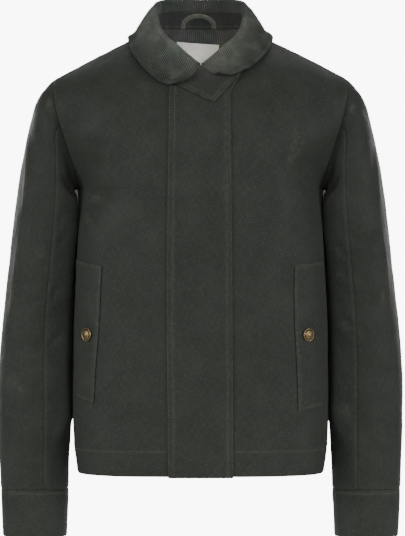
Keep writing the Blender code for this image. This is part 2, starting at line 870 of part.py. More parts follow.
def relax(grid, passes):
    """Evens out a grid inside its edges, as stiff cloth does over a step."""
    for _ in range(passes):
        calm = [[p.copy() for p in row] for row in grid]
        for r in range(1, len(grid) - 1):
            for c in range(1, len(grid[0]) - 1):
                around = grid[r - 1][c] + grid[r + 1][c] + grid[r][c - 1] + grid[r][c + 1]
                calm[r][c].y = min(grid[r][c].y, around.y / 4)
        grid = calm
    return grid


def body_turn_at(x, z):
    """Degrees round the front's section where it reaches x."""
    half = along(BODY, z)[0]
    return math.degrees(math.asin(min(x / half, 1.0) ** (SIDE_POWER / 2)))


def welt_sheet(side):
    """A pocket welt's place on the wearer's left front."""
    top, top_rise, bottom, bottom_rise = WELT_ENDS[side]
    rows = []
    for r in range(WELT_ROWS + 1):
        row = []
        for c in range(WELT_COLS + 1):
            over = c / WELT_COLS
            z = lerp(bottom + bottom_rise * over, top + top_rise * over, r / WELT_ROWS)
            sewn, free = along(WELT[side], z)
            pull = WELT_PINCH * math.exp(-((z - SNAP_Z) / WELT_PINCH_REACH) ** 2)
            turn = lerp(body_turn_at(sewn, z), body_turn_at(free - pull, z), over)
            row.append(section_point(z, turn, 0, False))
        rows.append(row)
    return Sheet(rows)


def add_snap(name, sheet, side):
    """A domed snap cap, turned about its own axis and set on the welt."""
    x = SNAP_X[side]
    nearest = min(
        (
            (abs(p.x - x) + abs(p.z - SNAP_Z), r, c)
            for r, row in enumerate(sheet.points)
            for c, p in enumerate(row)
        ),
    )
    normal = sheet.normals[nearest[1]][nearest[2]]
    spot = section_point(SNAP_Z, body_turn_at(x, SNAP_Z), 0, False)
    spot = spot + normal * (LAY_GAP + WELT_WALL + SEAM_GAP)
    if side == "right":
        flip = Vector((-1, 1, 1))
        spot, normal = spot * flip, normal * flip
    bm = bmesh.new()
    profile = [bm.verts.new((radius, 0, height)) for radius, height in SNAP_PROFILE]
    edges = [bm.edges.new(pair) for pair in zip(profile, profile[1:])]
    bmesh.ops.spin(
        bm, geom=profile + edges, cent=(0, 0, 0), axis=(0, 0, 1),
        angle=math.tau, steps=SNAP_STEPS, use_merge=True,
    )
    bmesh.ops.remove_doubles(bm, verts=bm.verts, dist=0.001)
    turn = Vector((0, 0, 1)).rotation_difference(normal).to_matrix().to_4x4()
    turn.translation = spot
    bmesh.ops.transform(bm, matrix=turn, verts=bm.verts)
    add_object(name, bm, BRASS)


# Back neck


def facing_sheets(back):
    """The back neck facing's outer and inner faces, inside the back."""
    reach = NECK_COLS + FACING_SHOULDER_COLS
    top = len(back.points) - 1
    middle = BODY_COLS
    rows = range(top - FACING_ROWS, top + 1)
    piece = back.part(rows, range(middle - reach, middle + reach + 1))
    outer_depth = SHELL_WALL + LAY_GAP
    outer, inner = piece.moved_out(-outer_depth), piece.moved_out(-outer_depth - FACING_WALL)
    return outer, inner


def add_label(facing_inner):
    tree = surface_tree([facing_inner])
    width, height = LABEL_SIZE
    rows = []
    for r in range(LABEL_ROWS + 1):
        row = []
        for c in range(LABEL_COLS + 1):
            u, v = (c / LABEL_COLS - 0.5) * width, (r / LABEL_ROWS - 0.5) * height
            x = LABEL_MIDDLE[0] + u * math.cos(LABEL_TILT) - v * math.sin(LABEL_TILT)
            z = LABEL_MIDDLE[1] + u * math.sin(LABEL_TILT) + v * math.cos(LABEL_TILT)
            row.append(tree.ray_cast(Vector((x, NECK_RAY, z)), Vector((0, 1, 0)))[0])
        rows.append(row)
    sheet = Sheet(rows)
    add_cloth(
        "label", sheet.moved_out(LAY_GAP + LABEL_WALL), sheet.moved_out(LAY_GAP), WOVEN_LABEL,
    )


def add_loop(stand_inner):
    """The hanger loop: a flat strip bent into an arch before the collar stand."""
    tree = surface_tree([stand_inner])
    highest = stand_inner[-1][len(stand_inner[0]) // 2].z - 1
    outer, inner = [], []
    for k in range(LOOP_STEPS + 1):
        angle = math.pi * k / LOOP_STEPS
        across, rise = math.cos(angle), math.sin(angle) ** 0.8
        rim, hole = [], []
        for side in (-0.5, 0.5):
            reach_x = LOOP_HALF + side * LOOP_STRIP
            reach_z = LOOP_RISE + side * LOOP_STRIP
            x = LOOP_MIDDLE + reach_x * across
            z = LOOP_FOOT + reach_z * rise
            height = max(min(z, highest), LOOP_FOOT)
            spot = tree.ray_cast(Vector((x, NECK_RAY, height)), Vector((0, 1, 0)))[0]
            y = spot.y - LAY_GAP
            rim.append(Vector((x, y - LOOP_WALL, z)))
            hole.append(Vector((x, y, z)))
        outer.append(rim)
        inner.append(hole)
    add_cloth("hanger_loop", outer, inner, WAXED)


def build():
    for old in list(bpy.data.objects):
        bpy.data.objects.remove(old, do_unlink=True)

    front_left = body_half(is_back=False)
    back_half = body_half(is_back=True)
    sleeve = Sheet(sleeve_rings(armhole_loop(front_left, back_half)), wrap=True)
    cuff = Sheet([sleeve_ring(row) for row in CUFF], wrap=True)
    angles = [180 * k / (2 * NECK_COLS) for k in range(2 * NECK_COLS + 1)]
    stand = Sheet(rows_of(both_sides(stand_column, angles)), turn=-1)
    front_right = front_left.mirrored()
    back_right = back_half.mirrored()
    sleeve_right = sleeve.mirrored()
    cuff_right = cuff.mirrored()
    share_normals([
        front_left, back_half, sleeve, cuff,
        front_right, back_right, sleeve_right, cuff_right, stand,
    ])

    # The back is one piece: its right half, then its left half
    back_rows = range(len(back_half.points))
    back = back_half.part(back_rows, range(BODY_COLS + 1))
    mirror = back_right.part(back_rows, range(BODY_COLS, 0, -1))
    back.points = [a + b for a, b in zip(mirror.points, back.points)]
    back.normals = [a + b for a, b in zip(mirror.normals, back.normals)]

    fronts_tree = surface_tree([front_left.points, front_right.points])
    half_gap = SEAM_GAP / 2
    facing_outer, facing_inner = facing_sheets(back)

    for name, sheet in (("front_left", front_left), ("front_right", front_right), ("back", back)):
        add_sheet(name, sheet.inset(half_gap), body_walls(sheet), WAXED)

    rings = range(len(SLEEVE))
    top_cols = [c % SLEEVE_COLS for c in range(-SLEEVE_SEAM, SLEEVE_SEAM + 1)]
    under_cols = range(SLEEVE_SEAM, SLEEVE_COLS - SLEEVE_SEAM + 1)
    for side, whole, band in (("left", sleeve, cuff), ("right", sleeve_right, cuff_right)):
        top = whole.part(rings, top_cols).inset(SLEEVE_INSET)
        under = whole.part(rings, under_cols).inset(SLEEVE_INSET)
        add_sheet("sleeve_top_" + side, top, SHELL_WALL, WAXED)
        add_sheet("sleeve_under_" + side, under, SHELL_WALL, WAXED)
        add_sheet("cuff_" + side, band.inset(half_gap), CUFF_WALL, WAXED)

    stand.inset(STAND_INSET)
    stand_inner = stand.moved_out(-STAND_WALL)
    add_cloth("collar_stand", stand.points, stand_inner, CORDUROY)

    flap_outer, flap_inner = lay_on(fronts_tree, flap_places(), LAY_GAP, FLAP_WALL)
    add_cloth("storm_flap", flap_outer, flap_inner, WAXED)
    throat_tree = surface_tree([front_left.points, front_right.points, stand.points])
    tab_height = LAY_GAP + FLAP_WALL + TAB_GAP
    tab_outer, tab_inner = lay_on(throat_tree, tab_places(), tab_height, TAB_WALL)
    tab_outer, tab_inner = relax(tab_outer, TAB_PASSES), relax(tab_inner, TAB_PASSES)
    add_cloth("throat_tab", tab_outer, tab_inner, WAXED)

    shoulder_tree = surface_tree([
        front_left.points, [list(reversed(row)) for row in front_right.points],
        [list(reversed(row)) for row in back.points], flap_outer, tab_outer,
        [list(reversed(row)) for row in stand.points],
    ])
    fall_outer, fall_under = make_fall(stand_inner, stand.points, shoulder_tree)
    add_cloth("collar_fall", fall_outer, fall_under, CORDUROY)

    for side in ("left", "right"):
        base = welt_sheet(side)
        placed = base if side == "left" else base.mirrored()
        outer, inner = placed.moved_out(LAY_GAP + WELT_WALL), placed.moved_out(LAY_GAP)
        add_cloth("pocket_welt_" + side, outer, inner, WAXED)
        add_snap("snap_cap_" + side, base, side)

    add_cloth("neck_facing", facing_outer, facing_inner, CORDUROY)
    add_label(facing_inner)
    add_loop(stand_inner)


build()
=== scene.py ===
"""Looks of a waxed cotton jacket with a corduroy collar, filled out as on a wearer, hollow.

The cloth's forms are worked out in millimetres, from the same named sizes as the jacket's
solids, and become metres when a mesh is made. +Z is up, the front faces -Y, and +X is the
wearer's left. The origin is the middle of the neck seam.
"""
import math

import bmesh
import bpy
import numpy as np
from mathutils import Matrix, Vector, noise
from mathutils.bvhtree import BVHTree


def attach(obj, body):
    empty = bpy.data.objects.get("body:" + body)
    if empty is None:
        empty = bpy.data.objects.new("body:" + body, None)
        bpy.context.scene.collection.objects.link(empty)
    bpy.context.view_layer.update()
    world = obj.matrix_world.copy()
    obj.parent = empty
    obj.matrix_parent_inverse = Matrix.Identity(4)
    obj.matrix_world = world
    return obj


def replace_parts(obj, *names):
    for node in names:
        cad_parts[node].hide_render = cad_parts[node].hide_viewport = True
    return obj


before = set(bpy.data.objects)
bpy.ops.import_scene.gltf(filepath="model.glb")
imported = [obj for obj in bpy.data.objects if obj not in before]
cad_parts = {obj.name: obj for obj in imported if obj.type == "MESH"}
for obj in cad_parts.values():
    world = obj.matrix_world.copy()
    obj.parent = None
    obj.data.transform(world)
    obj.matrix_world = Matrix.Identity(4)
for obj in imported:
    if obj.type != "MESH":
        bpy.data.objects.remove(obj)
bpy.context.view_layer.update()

MM = 0.001

# Directions
FLIP = Vector((-1, 1, 1))         # turns the wearer's left into the right
BACKWARD = Vector((0, 1, 0))

# Sizes, in millimetres

# Cloth walls
SHELL_WALL = 1.6          # waxed cotton with its seam turnings
CUFF_WALL = 2.4
FLAP_WALL = 2.0
TAB_WALL = 1.8
WELT_WALL = 2.0
STAND_WALL = 2.0
FALL_WALL = 3.0           # two layers of corduroy
FACING_WALL = 1.2
LABEL_WALL = 1.0
SEAM_GAP = 0.3
SAME_POINT = 20           # points that round to one place at so many steps a mm are one
LAY_GAP = 0.5             # between a piece and the one that it lies on
FALL_GAP = 3.6            # between the collar's fall and the shoulders, at its grid points
TAB_GAP = 0.8             # between the throat tab and the storm flap
FIRST_RAY = -400.0        # in front of the whole jacket
NECK_RAY = -40.0          # inside the neck, before its back
RAY_MARGIN = 1.0          # how far inside an edge a line still meets the cloth

# Body
HEM = -617.0
HEM_TURN = 35.0
UNDERARM = -225.0
CHEST = -150.0            # above this height the panels curve back over the shoulders
SIDE_POWER = 3.2          # squareness of the body's sections
CHEST_POWER = 3.6         # flatness of the chest between the armholes
CHEST_BLEND = -300.0
BODY = (
    # height, half width, front depth, back depth
    (-617, 172.0, 112, 108),
    (-598, 175.0, 112.5, 108),
    (-570, 178.0, 113, 109),
    (-530, 179.0, 114, 109.5),
    (-480, 179.0, 115, 110),
    (-400, 177.5, 117, 109),
    (-330, 173.5, 119, 107),
    (-280, 171.5, 120, 107),
    (-225, 172.5, 119, 109),
    (-197, 176.0, 117, 110),
    (-171, 183.0, 114, 110),
    (-150, 190.0, 111, 109),
)
ARMHOLE_FRONT = 50.0      # how far the armhole reaches in front of the side seam
ARMHOLE_BACK = 62.0
ARMHOLE_SOFT = 3.0        # how gently the cloth at the middle leaves the side
ARMHOLE_NEAR = 6          # how near to the armhole its own round shape holds
NECK_HALF = 70.0
NECK_CENTRE = -8.0
NECK_BACK = 70.0
NECK_FRONT = 78.0
NECK_RISE = 3.0
NECK_DROP = 62.0
SHOULDER_HALF = 201.0
SHOULDER_SLOPE = 0.5
SHOULDER_ROLL = 3.0
SHOULDER_ROLL_NEAR = 6    # how near to its end the shoulder rolls down
SHOULDER_POINT_Y = -4.0
RISE_FRONT = (
    # share of the width from the centre, degrees that the cloth still climbs at the seam,
    # fullness of its curve
    (0.0, 60, 1.17),
    (0.5, 14, 1.17),
    (1.0, 0, 1.17),
)
RISE_BACK = (
    (0.0, 44, 1.1),
    (0.5, 28, 1.1),
    (1.0, 0, 1.17),
)
YOKE_PASSES = 10
YOKE_CALM = 0.5           # how much each pass evens the yoke out, fully after some rows
YOKE_CALM_ROWS = 3
YOKE_LEAD = 4.0           # the curve sets out in the direction of this last stretch
ARMHOLE_LEAN = 0.3        # how much the armhole turns in toward the shoulder point

NECK_COLS = 7
SHOULDER_COLS = 7
NECK_TURN = 20.0          # degrees of the lower sections that lie under the neck's columns
BODY_COLS = NECK_COLS + SHOULDER_COLS
HEM_ROWS = 2
HEM_STEP = 2.0            # from the hem's turn to the next row
WAIST_ROWS = 11
ARMPIT_ROWS = 5
YOKE_ROWS = 8
ARMHOLE_ROWS = ARMPIT_ROWS + YOKE_ROWS

# Sleeve, the wearer's left
SLEEVE = (
    # outer x, outer z, inner x, inner z, front y, back y
    (201.0, -68, 172.5, -225, -50, 62),
    (210.5, -77, 176.2, -225.6, -53, 65),
    (222.0, -91, 175.6, -229, -55, 69),
    (230.5, -107, 174.4, -235, -56, 72),
    (237.5, -130, 174.2, -245, -56.5, 75),
    (245.0, -162, 174.0, -255, -57, 77),
    (252.5, -200, 173.2, -268, -56.5, 78),
    (259.0, -242, 173.0, -288, -55.5, 78),
    (265.0, -288, 174.0, -312, -54, 77),
    (269.5, -330, 176.0, -340, -52.5, 75),
    (274.0, -372, 179.5, -374, -51, 71),
    (278.5, -415, 181.0, -415, -50, 66),
    (281.5, -458, 181.5, -458, -49, 59),
    (283.0, -500, 181.0, -500, -48, 52),
    (283.0, -542, 180.8, -542, -46, 45),
    (282.5, -582, 181.8, -582, -44, 38),
    (281.0, -612, 183.2, -612, -42, 33),
    (280.0, -641, 184.0, -641, -40.5, 29),
)
CUFF = (
    (280.0, -641, 184.0, -641, -40.5, 29),
    (279.8, -645, 184.0, -645, -40.8, 29),
    (278.5, -673, 185.2, -673, -40, 27),
    (276.8, -707, 186.5, -707, -39, 25),
)
SLEEVE_POWER = 2.6
SLEEVE_COLS = 2 * ARMHOLE_ROWS
SLEEVE_SEAM = 7           # columns from the top of the armhole to each sleeve seam
SEAM_SHIFT = 5.0          # degrees that the seams sit past an even spacing
CAP_RINGS = 6             # rings over which the armhole's own shape eases out
SLEEVE_CLEAR = 1.2        # between the hanging sleeve and the body's side
WELT_CLEAR = 3.4          # more of it in front, where the pocket welts lie
HUG_FROM = -227.5         # heights between which the sleeve lies against the body
HUG_FULL = -236.0
HUG_END = -545.0
HUG_GONE = -585.0
HUG_ACROSS = 0.35         # the share of the sleeve's inner half that stays round
HUG_SPAN = 0.4
WELT_FROM = -8.0          # depths over which the welts' clearance sets in
WELT_SPAN = 16.0
WELT_OVER = -312.0        # above this height nothing lies between the front and the sleeve
WELT_OVER_SPAN = 12.0

# Collar, the wearer's left half; the right half mirrors it
COLLAR = (
    # degrees round the neck from centre back, fold x, y, z, outer edge x, y, z, how far the
    # fall swells between them, width of the roll at its top
    (0, 0, 62, 45, 0, 92, -14, 3.0, 9.0),
    (25, 33, 56, 45, 46, 84, -14, 4.0, 10.5),
    (50, 52, 38, 42, 76, 58, -13, 3.5, 14.0),
    (75, 57, 12, 33, 97, 20, -12, 1.5, 16.0),
    (95, 57, -14, 16, 99, -14, -16, 4.0, 13.5),
    (115, 52, -38, -2, 95, -42, -33, 5.0, 10.0),
    (133, 43, -58, -15, 83, -65, -56, 3.0, 9.0),
    (150, 31, -72, -25, 65, -82, -74, 1.0, 8.5),
    (165, 16, -80, -39, 45, -92, -84, -2.5, 6.5),
    (180, 0.4, -84, -52, 26, -99, -79, -7.0, 4.5),
)
STAND_SHARE = 0.6         # of the way from the neck seam to the fold
ROLL_RISE = 1.5
ROLL_ENTRY = 0.12         # of the roll's width, where it has left the fold
ROLL_DROP = 5.0
ROLL_STEEP = 0.55         # at most so much drop to the roll's width
ROLL_SWELL = 0.35         # the share of the fall's swell that its roll takes
FALL_STEPS = (1, 1, 1, 2, 2, 3)
FALL_LAID_FROM = 4        # rows from the fold on that lie on the shoulders
FALL_CALM = 0.35          # how much each pass evens the fall out
FALL_PASSES = 3
LEAF_END_STEPS = 2        # stations a neck column near the leaf's end
LEAF_END_FROM = 4         # neck columns from centre front that are stepped so
LEFT_LEAF_SHIFT = Vector((1.0, 0.0, 15.0))
LEFT_LEAF_FROM = 95.0
LEFT_LEAF_FULL = 150.0

# Storm flap over the centre front
FLAP = (
    # height, edge on the wearer's right, edge on the wearer's left
    (-618.5, -44.0, 44.5),
    (-380, -46.0, 43.5),
    (-100, -43.0, 41.0),
    (-88, -42.5, 41.5),
    (-74, -42.0, 50.0),
    (-66, -41.5, 55.0),
)
FLAP_TOP_DIP = 11.0       # the flap's top runs this far down from its ends to the middle
FLAP_DIP_FROM = -120.0
FLAP_DIP_SPAN = 54.0
FLAP_DIP_HALF = 55.0
FLAP_CROWDING = 1.35      # more than 1 brings the rows closer together toward the top
FLAP_ROWS = 24
FLAP_COLS = 6
FRONT_LIMIT = -30.0       # what lies further back than this isn't the front
SPOT_STEPS = 24
CENTRE_CLEAR = 3.0        # the fronts and the stand meet at the centre with a small gap

# Throat tab: corners in the front view, x and z
TAB_LEFT = (-44.0, -77.0)
TAB_TIP = (18.0, -107.0)
TAB_RIGHT = (58.0, -63.0)
TAB_TOP = (-2.0, -53.0)
TAB_STEPS = 10
TAB_PASSES = 4            # how stiffly the tab bridges the steps under it

# Pocket welts, each as on the wearer's left
WELT = {
    "left": (
        # height, x of the sewn edge, x of the free edge
        (-529, 133.6, 167.0),
        (-459, 131.4, 169.0),
        (-418, 129.4, 166.5),
        (-377, 128.0, 166.0),
        (-326, 128.0, 168.0),
    ),
    "right": (
        (-519, 146.5, 171.5),
        (-474, 144.0, 172.0),
        (-415, 139.0, 171.0),
        (-377, 137.0, 170.5),
        (-326, 134.5, 170.5),
    ),
}
WELT_ENDS = {
    # height of the sewn edge's top and how much higher the free edge's is, the same below
    "left": (-327.5, 4.5, -528.5, 9.0),
    "right": (-329.0, 8.5, -518.5, 11.5),
}
WELT_PINCH = 9.0          # the snap pulls the free edge in
WELT_PINCH_REACH = 16.0
WELT_ROWS = 14
WELT_COLS = 5
SNAP_X = {"left": 146.0, "right": 154.2}
SNAP_Z = -423.5
SNAP_STEPS = 20
SNAP_LIFT = 0.3
SNAP_TURNING = (
    # radius, height, how far the patina is rubbed away
    (0.0, 3.7, 0.9),
    (1.6, 3.62, 0.9),
    (3.2, 3.35, 0.85),
    (3.6, 3.05, 0.25),
    (4.0, 3.05, 0.3),
    (4.4, 3.12, 0.9),
    (5.6, 2.65, 0.75),
    (6.7, 1.95, 0.5),
    (7.2, 1.35, 0.05),
    (7.6, 1.25, 0.1),
    (8.0, 1.65, 1.0),
    (8.5, 1.75, 1.0),
    (9.0, 1.3, 0.9),
    (9.1, 0.6, 0.3),
    (9.0, 0.0, 0.0),
    (0.0, 0.0, 0.0),
)

# Back neck
FACING_ROWS = 5
FACING_SHOULDER_COLS = 2
LABEL_SIZE = (60.0, 38.0)
LABEL_MIDDLE = (-5.0, -34.5)
LABEL_TILT = math.radians(-4)
LABEL_ROWS = 4
LABEL_COLS = 6
LOOP_MIDDLE = -3.0
LOOP_HALF = 22.0
LOOP_FOOT = 4.5
LOOP_RISE = 18.5
LOOP_STRIP = 6.0
LOOP_WALL = 1.6
LOOP_STEPS = 14

# Cloth as it looks
SHELL_SHOWN = 1.4         # the shell's wall as it is drawn
GRID_PITCH = 3.4          # spacing of the cloth's own mesh; some pieces have a finer one
PITCH = {"cuff": 2.6, "flap": 3.0, "tab": 2.0, "welt": 2.4, "label": 1.6, "loop": 1.2}
EDGE_STEPS = (0.7, 1.6, 2.8)    # finer steps beside a seam or a folded edge
FINEST_STEP = 0.5
# How the cloth rolls down at a seam, a folded edge or a row of stitches: depth and width
SEAM_ROLL = (0.9, 2.2)
FOLD_ROLL = (0.7, 1.3)
STITCH_ROLL = (0.55, 1.5)
CORD_SEAM_ROLL = (0.5, 1.5)
CORD_FOLD_ROLL = (0.9, 1.5)
CORD_STITCH_ROLL = (0.15, 1.0)
LABEL_ROLL = (0.4, 1.2)
LOOP_ROLL = (0.7, 1.0)
SEAM_CALM = 10.0          # near a seam both pieces follow one form, so that they meet
# Where wax is rubbed pale: how much, and how far to each side
SEAM_WEAR = (0.12, 1.5)
FOLD_WEAR = (0.4, 1.2)
STITCH_WEAR = (0.22, 2.0)
LOOP_WEAR = (0.65, 1.2)
LOOP_WEAR_ALL = 0.35
# The same on creases: the depth or height where it starts, over how much more, how much
TROUGH_WEAR = (0.9, 1.6, 0.35)
# Ridge tops pale partly from rubbed wax and partly as a painted highlight along pressed creases
RIDGE_WEAR_AND_HIGHLIGHT = (0.9, 1.2, 0.4)
# Puckers beside a row of stitches: height, wave, its drift, the band they lie in
PUCKER = 0.22
PUCKER_WAVE = 2.3
PUCKER_DRIFT = (2.5, 17.0)
PUCKER_BAND = (4.0, 4.5)
# Unevenness: size in x, y and z, where its pattern starts, height
SWELLS = ((62.0, 62.0, 130.0), (0, 0, 0), 1.5)
RUMPLES = ((24.0, 24.0, 34.0), (7, 0, 0), 0.9)
CRINKLES = ((8.0, 8.0, 9.0), (0, 0, 31), 0.18)
# Where sleeve and body lie side by side nothing stands out: below this height, this far out
BESIDE_HEIGHT = -222.0
BESIDE_HEIGHT_FADE = 10.0
BESIDE_OUT = 158.0
BESIDE_OUT_FADE = 12.0
FACING_FADE = 0.4         # how soon creases of one side end where the cloth turns away
WALE = 3.2                # corduroy's rib spacing; the real 2 mm would not show
# Each corduroy piece: rib spacing, spacing of its rows, how far up them the ribs are evenly
# spaced, and how pale they are to the fall's. The stand's and the facing's lower values are
# painted shade inside the neck.
WALES = {
    "fall": (WALE, 2.2, 0.62, 1.0),
    "stand": (WALE * 0.85, 2.0, 0.5, 0.15),
    "facing": (WALE * 0.9, 2.4, 0.9, 0.65),
}
WALE_STEPS = 6
WALE_SHARPNESS = 1.5
WALE_RISE = 0.6
WALE_TEETH = 1.8          # how far wales stand out of the collar's edge, from groove to ridge
WALE_TEETH_REACH = 1.5
WALE_FLATTENED = (0.3, 1.0)     # by a row of stitches: share, width
CORD_UNEVEN = 0.25
CORD_RIPPLES = (0.5, 0.4)       # its share of the cloth's swells and crinkles
# Painted shade: the fall's wales are coloured darker where the cloth turns in toward the neck
INSIDE_SHADE_TONE = 0.55        # how pale the fall's wales are inside the neck
INSIDE_FADE = (0.55, 0.75)      # turned in by this much, over this much
STITCH = 2.7              # length
STITCH_GAP = 1.1
THREAD = 0.32             # half its thickness
THREAD_LIFT = 0.4         # of THREAD, how far a stitch's middle is above the cloth
COLLAR_STITCH = 6.5       # topstitching in from the collar's edge
STAND_STITCH = 1.2
FLAP_STITCH = 7.0
FLAP_BAND = 8.0
FLAP_EDGE_STITCH = 1.6
TAB_STITCH = 5.5
WELT_STITCH = 3.0
CUFF_STITCH = 5.0
LABEL_WAVE = (0.3, 9.0)   # height, and how long
LOOP_BEND = 0.8           # less than 1 squares the loop's shoulders

# Creases: x and z of each end, width, depth (a ridge is above 0, a trough below it), and how
# far the middle bows to one side
BODY_FRONT_CREASES = (
    (-22, -112, 26, -176, 9, -1.3, 6),
    (-16, -106, 8, -140, 5, 0.6, 3),
    (-160, -232, -112, -262, 8, -1.4, 5),
    (-164, -250, -128, -292, 7, -1.0, -4),
    (162, -236, 120, -268, 8, -1.3, -5),
    (165, -262, 138, -300, 6, -0.9, 4),
    (-146, -150, -122, -214, 11, -1.2, 6),
    (148, -140, 120, -208, 12, -1.3, -7),
    (-100, -60, -70, -128, 13, -0.9, 6),
    (104, -58, 72, -122, 12, -0.9, -6),
    (-120, -330, -84, -398, 16, -0.9, 9),
    (96, -300, 74, -392, 17, -0.9, -8),
    (-104, -470, -60, -522, 12, -0.8, 6),
    (70, -470, 112, -540, 13, -0.8, -6),
    (-48, -545, -58, -572, 4, -0.9, 2),
    (-40, -556, -46, -578, 3, 0.5, 1),
    (50, -548, 62, -574, 4, -0.9, -2),
    (44, -552, 50, -578, 3, 0.5, 1),
    (-10, -300, 12, -380, 15, -0.7, 6),
    (4, -430, -14, -520, 14, -0.7, -5),
)
BODY_BACK_CREASES = (
    (158, -240, 96, -286, 9, -1.6, -6),
    (-160, -238, -104, -280, 9, -1.6, 6),
    (150, -160, 118, -232, 12, -1.5, -7),
    (-148, -156, -116, -226, 12, -1.4, 7),
    (92, -66, 40, -120, 13, -1.0, -6),
    (-88, -64, -44, -116, 12, -1.0, 6),
    (20, -210, 34, -330, 18, -1.1, 8),
    (-34, -240, -22, -352, 16, -1.0, -7),
    (110, -330, 84, -440, 16, -1.1, 9),
    (-112, -350, -92, -470, 15, -1.0, -8),
    (60, -470, 96, -560, 13, -0.9, 6),
    (-50, -460, -84, -548, 14, -0.9, -6),
    (4, -420, -6, -540, 14, -0.8, 5),
)
SLEEVE_FRONT_CREASES = (
    # the wearer's right sleeve, below 0 in x, then the left
    (-213, -80, -236, -124, 4, 1.8, -4),
    (-240, -126, -247, -270, 3.2, 1.9, 2),
    (-248, -270, -264, -420, 3.4, 1.8, -2),
    (-205, -86, -216, -118, 6, -1.2, 3),
    (-222, -96, -202, -128, 6, -1.0, 4),
    (-186, -250, -222, -292, 6, -1.4, 5),
    (-184, -280, -214, -316, 5, -1.1, 4),
    (-182, -318, -226, -338, 7, -1.5, -5),
    (-190, -352, -240, -384, 8, -1.6, 6),
    (-262, -330, -226, -372, 8, -1.2, -5),
    (-188, -420, -232, -446, 7, -1.2, 5),
    (-270, -470, -236, -512, 8, -1.1, -5),
    (-196, -540, -230, -580, 7, -1.0, 5),
    (213, -82, 238, -128, 4, 1.8, 4),
    (246, -130, 250, -268, 3.2, 1.8, -2),
    (250, -268, 262, -410, 3.4, 1.9, 2),
    (204, -88, 218, -122, 6, -1.2, -3),
    (224, -100, 204, -132, 6, -1.0, -4),
    (188, -262, 224, -300, 6, -1.4, -5),
    (184, -296, 218, -322, 5, -1.1, -4),
    (186, -336, 232, -362, 8, -1.6, 5),
    (264, -350, 230, -392, 8, -1.2, 5),
    (190, -400, 236, -424, 7, -1.3, -5),
    (272, -440, 240, -486, 8, -1.1, 5),
    (192, -510, 232, -552, 8, -1.1, -5),
)
SLEEVE_BACK_CREASES = (
    (-200, -120, -232, -176, 9, -1.4, 5),
    (-192, -230, -236, -262, 8, -1.6, -5),
    (-186, -300, -244, -330, 9, -1.8, 6),
    (-190, -350, -250, -372, 8, -1.8, -5),
    (-196, -396, -246, -432, 8, -1.4, 5),
    (-200, -480, -250, -520, 9, -1.2, -5),
    (200, -126, 230, -184, 9, -1.4, -5),
    (190, -240, 238, -276, 8, -1.6, 5),
    (186, -310, 246, -334, 9, -1.8, -6),
    (190, -358, 252, -386, 8, -1.8, 5),
    (198, -410, 248, -446, 8, -1.4, -5),
    (202, -490, 250, -536, 9, -1.2, 5),
)
CREASE_TAPER = 0.32       # share of a crease's length over which each end fades
# The cloth pushed up beside a trough: how far off, how wide, in its widths, and how high
CREASE_LIP = (1.7, 1.2, 0.4)

# Colours as sRGB hex
WAXED_DARK = "#2c2f2a"
WAXED_MID = "#373a35"
WAXED_BLOOM = "#454a43"
WAXED_WORN = "#62665b"
THREAD_COLOUR = "#666a5f"
# Painted shade in the grooves between the wales
CORDUROY_GROOVE_SHADE = "#080908"
CORDUROY_RIDGE = "#4e524b"
# Painted sheen where the corduroy nap catches the light
CORDUROY_NAP_SHEEN = "#6c7069"
LABEL_GREY = "#d9d8d5"
LABEL_WHITE = "#f2f1ef"
BRASS_DARK = "#3b2f20"
BRASS_BRIGHT = "#b39c74"
PALE_FLOOR = "#f4f4f4"

# Studio, in metres
EYE_DISTANCE = 4.2
EYE_HEIGHT = -0.26
SENSOR = 36.0             # millimetres
FRAME_HEIGHT = 0.7504
FRAME_SHIFT = (0.0037, -0.0983)
FLOOR_HEIGHT = -0.80
FLOOR_RADIUS = 0.72
FLOOR_SIDES = 96
WORLD_STRENGTH = 0.22     # as it lights the cloth
WORLD_SEEN = 9.0          # as it is seen
SOFTBOXES = (
    # name, place, width and height, watts, where it is aimed, degrees of spread
    ("left", (-3.7, -2.15, 0.5), (1.4, 2.0), 76, (0, 0, -0.33), 180),
    ("right", (3.7, -2.15, 0.4), (1.4, 2.0), 68, (0, 0, -0.33), 180),
    ("front", (0.3, -4.8, 0.7), (1.6, 1.4), 62, (0, 0, -0.33), 180),
    ("above", (0.3, 1.4, 2.8), (1.8, 1.2), 20, (0, 0, -0.1), 180),
    ("back left", (2.6, 3.4, 0.7), (1.4, 1.8), 60, (0, 0, -0.33), 180),
    ("back right", (-2.6, 3.4, 0.7), (1.4, 1.8), 60, (0, 0, -0.33), 180),
    ("neck", (0.0, -2.7, 0.72), (0.08, 0.08), 0.13, (-0.006, 0.05, -0.023), 2.5),
)


def lerp(a, b, share):
    return a + (b - a) * share


def ease(share):
    """0 to 1 with level ends, for a number or a field."""
    share = np.clip(share, 0.0, 1.0)
    return share * share * (3 - 2 * share)


def hermite(start, start_slope, end, end_slope, t):
    return (
        start * (2 * t ** 3 - 3 * t ** 2 + 1)
        + start_slope * (t ** 3 - 2 * t ** 2 + t)
        + end * (3 * t ** 2 - 2 * t ** 3)
        + end_slope * (t ** 3 - t ** 2)
    )


def along(table, at):
    """The columns of a table at a place in its first column, on a smooth curve."""
    last = len(table) - 2
    k = min(max(sum(row[0] <= at for row in table) - 1, 0), last)
    here, there = table[k], table[k + 1]
    before, after = table[max(k - 1, 0)], table[min(k + 2, last + 1)]
    span = there[0] - here[0]
    t = min(max((at - here[0]) / span, 0.0), 1.0)
    values = []
    for c in range(1, len(here)):
        slope_here = span * (there[c] - before[c]) / (there[0] - before[0])
        slope_there = span * (after[c] - here[c]) / (after[0] - here[0])
        values.append(hermite(here[c], slope_here, there[c], slope_there, t))
    return values


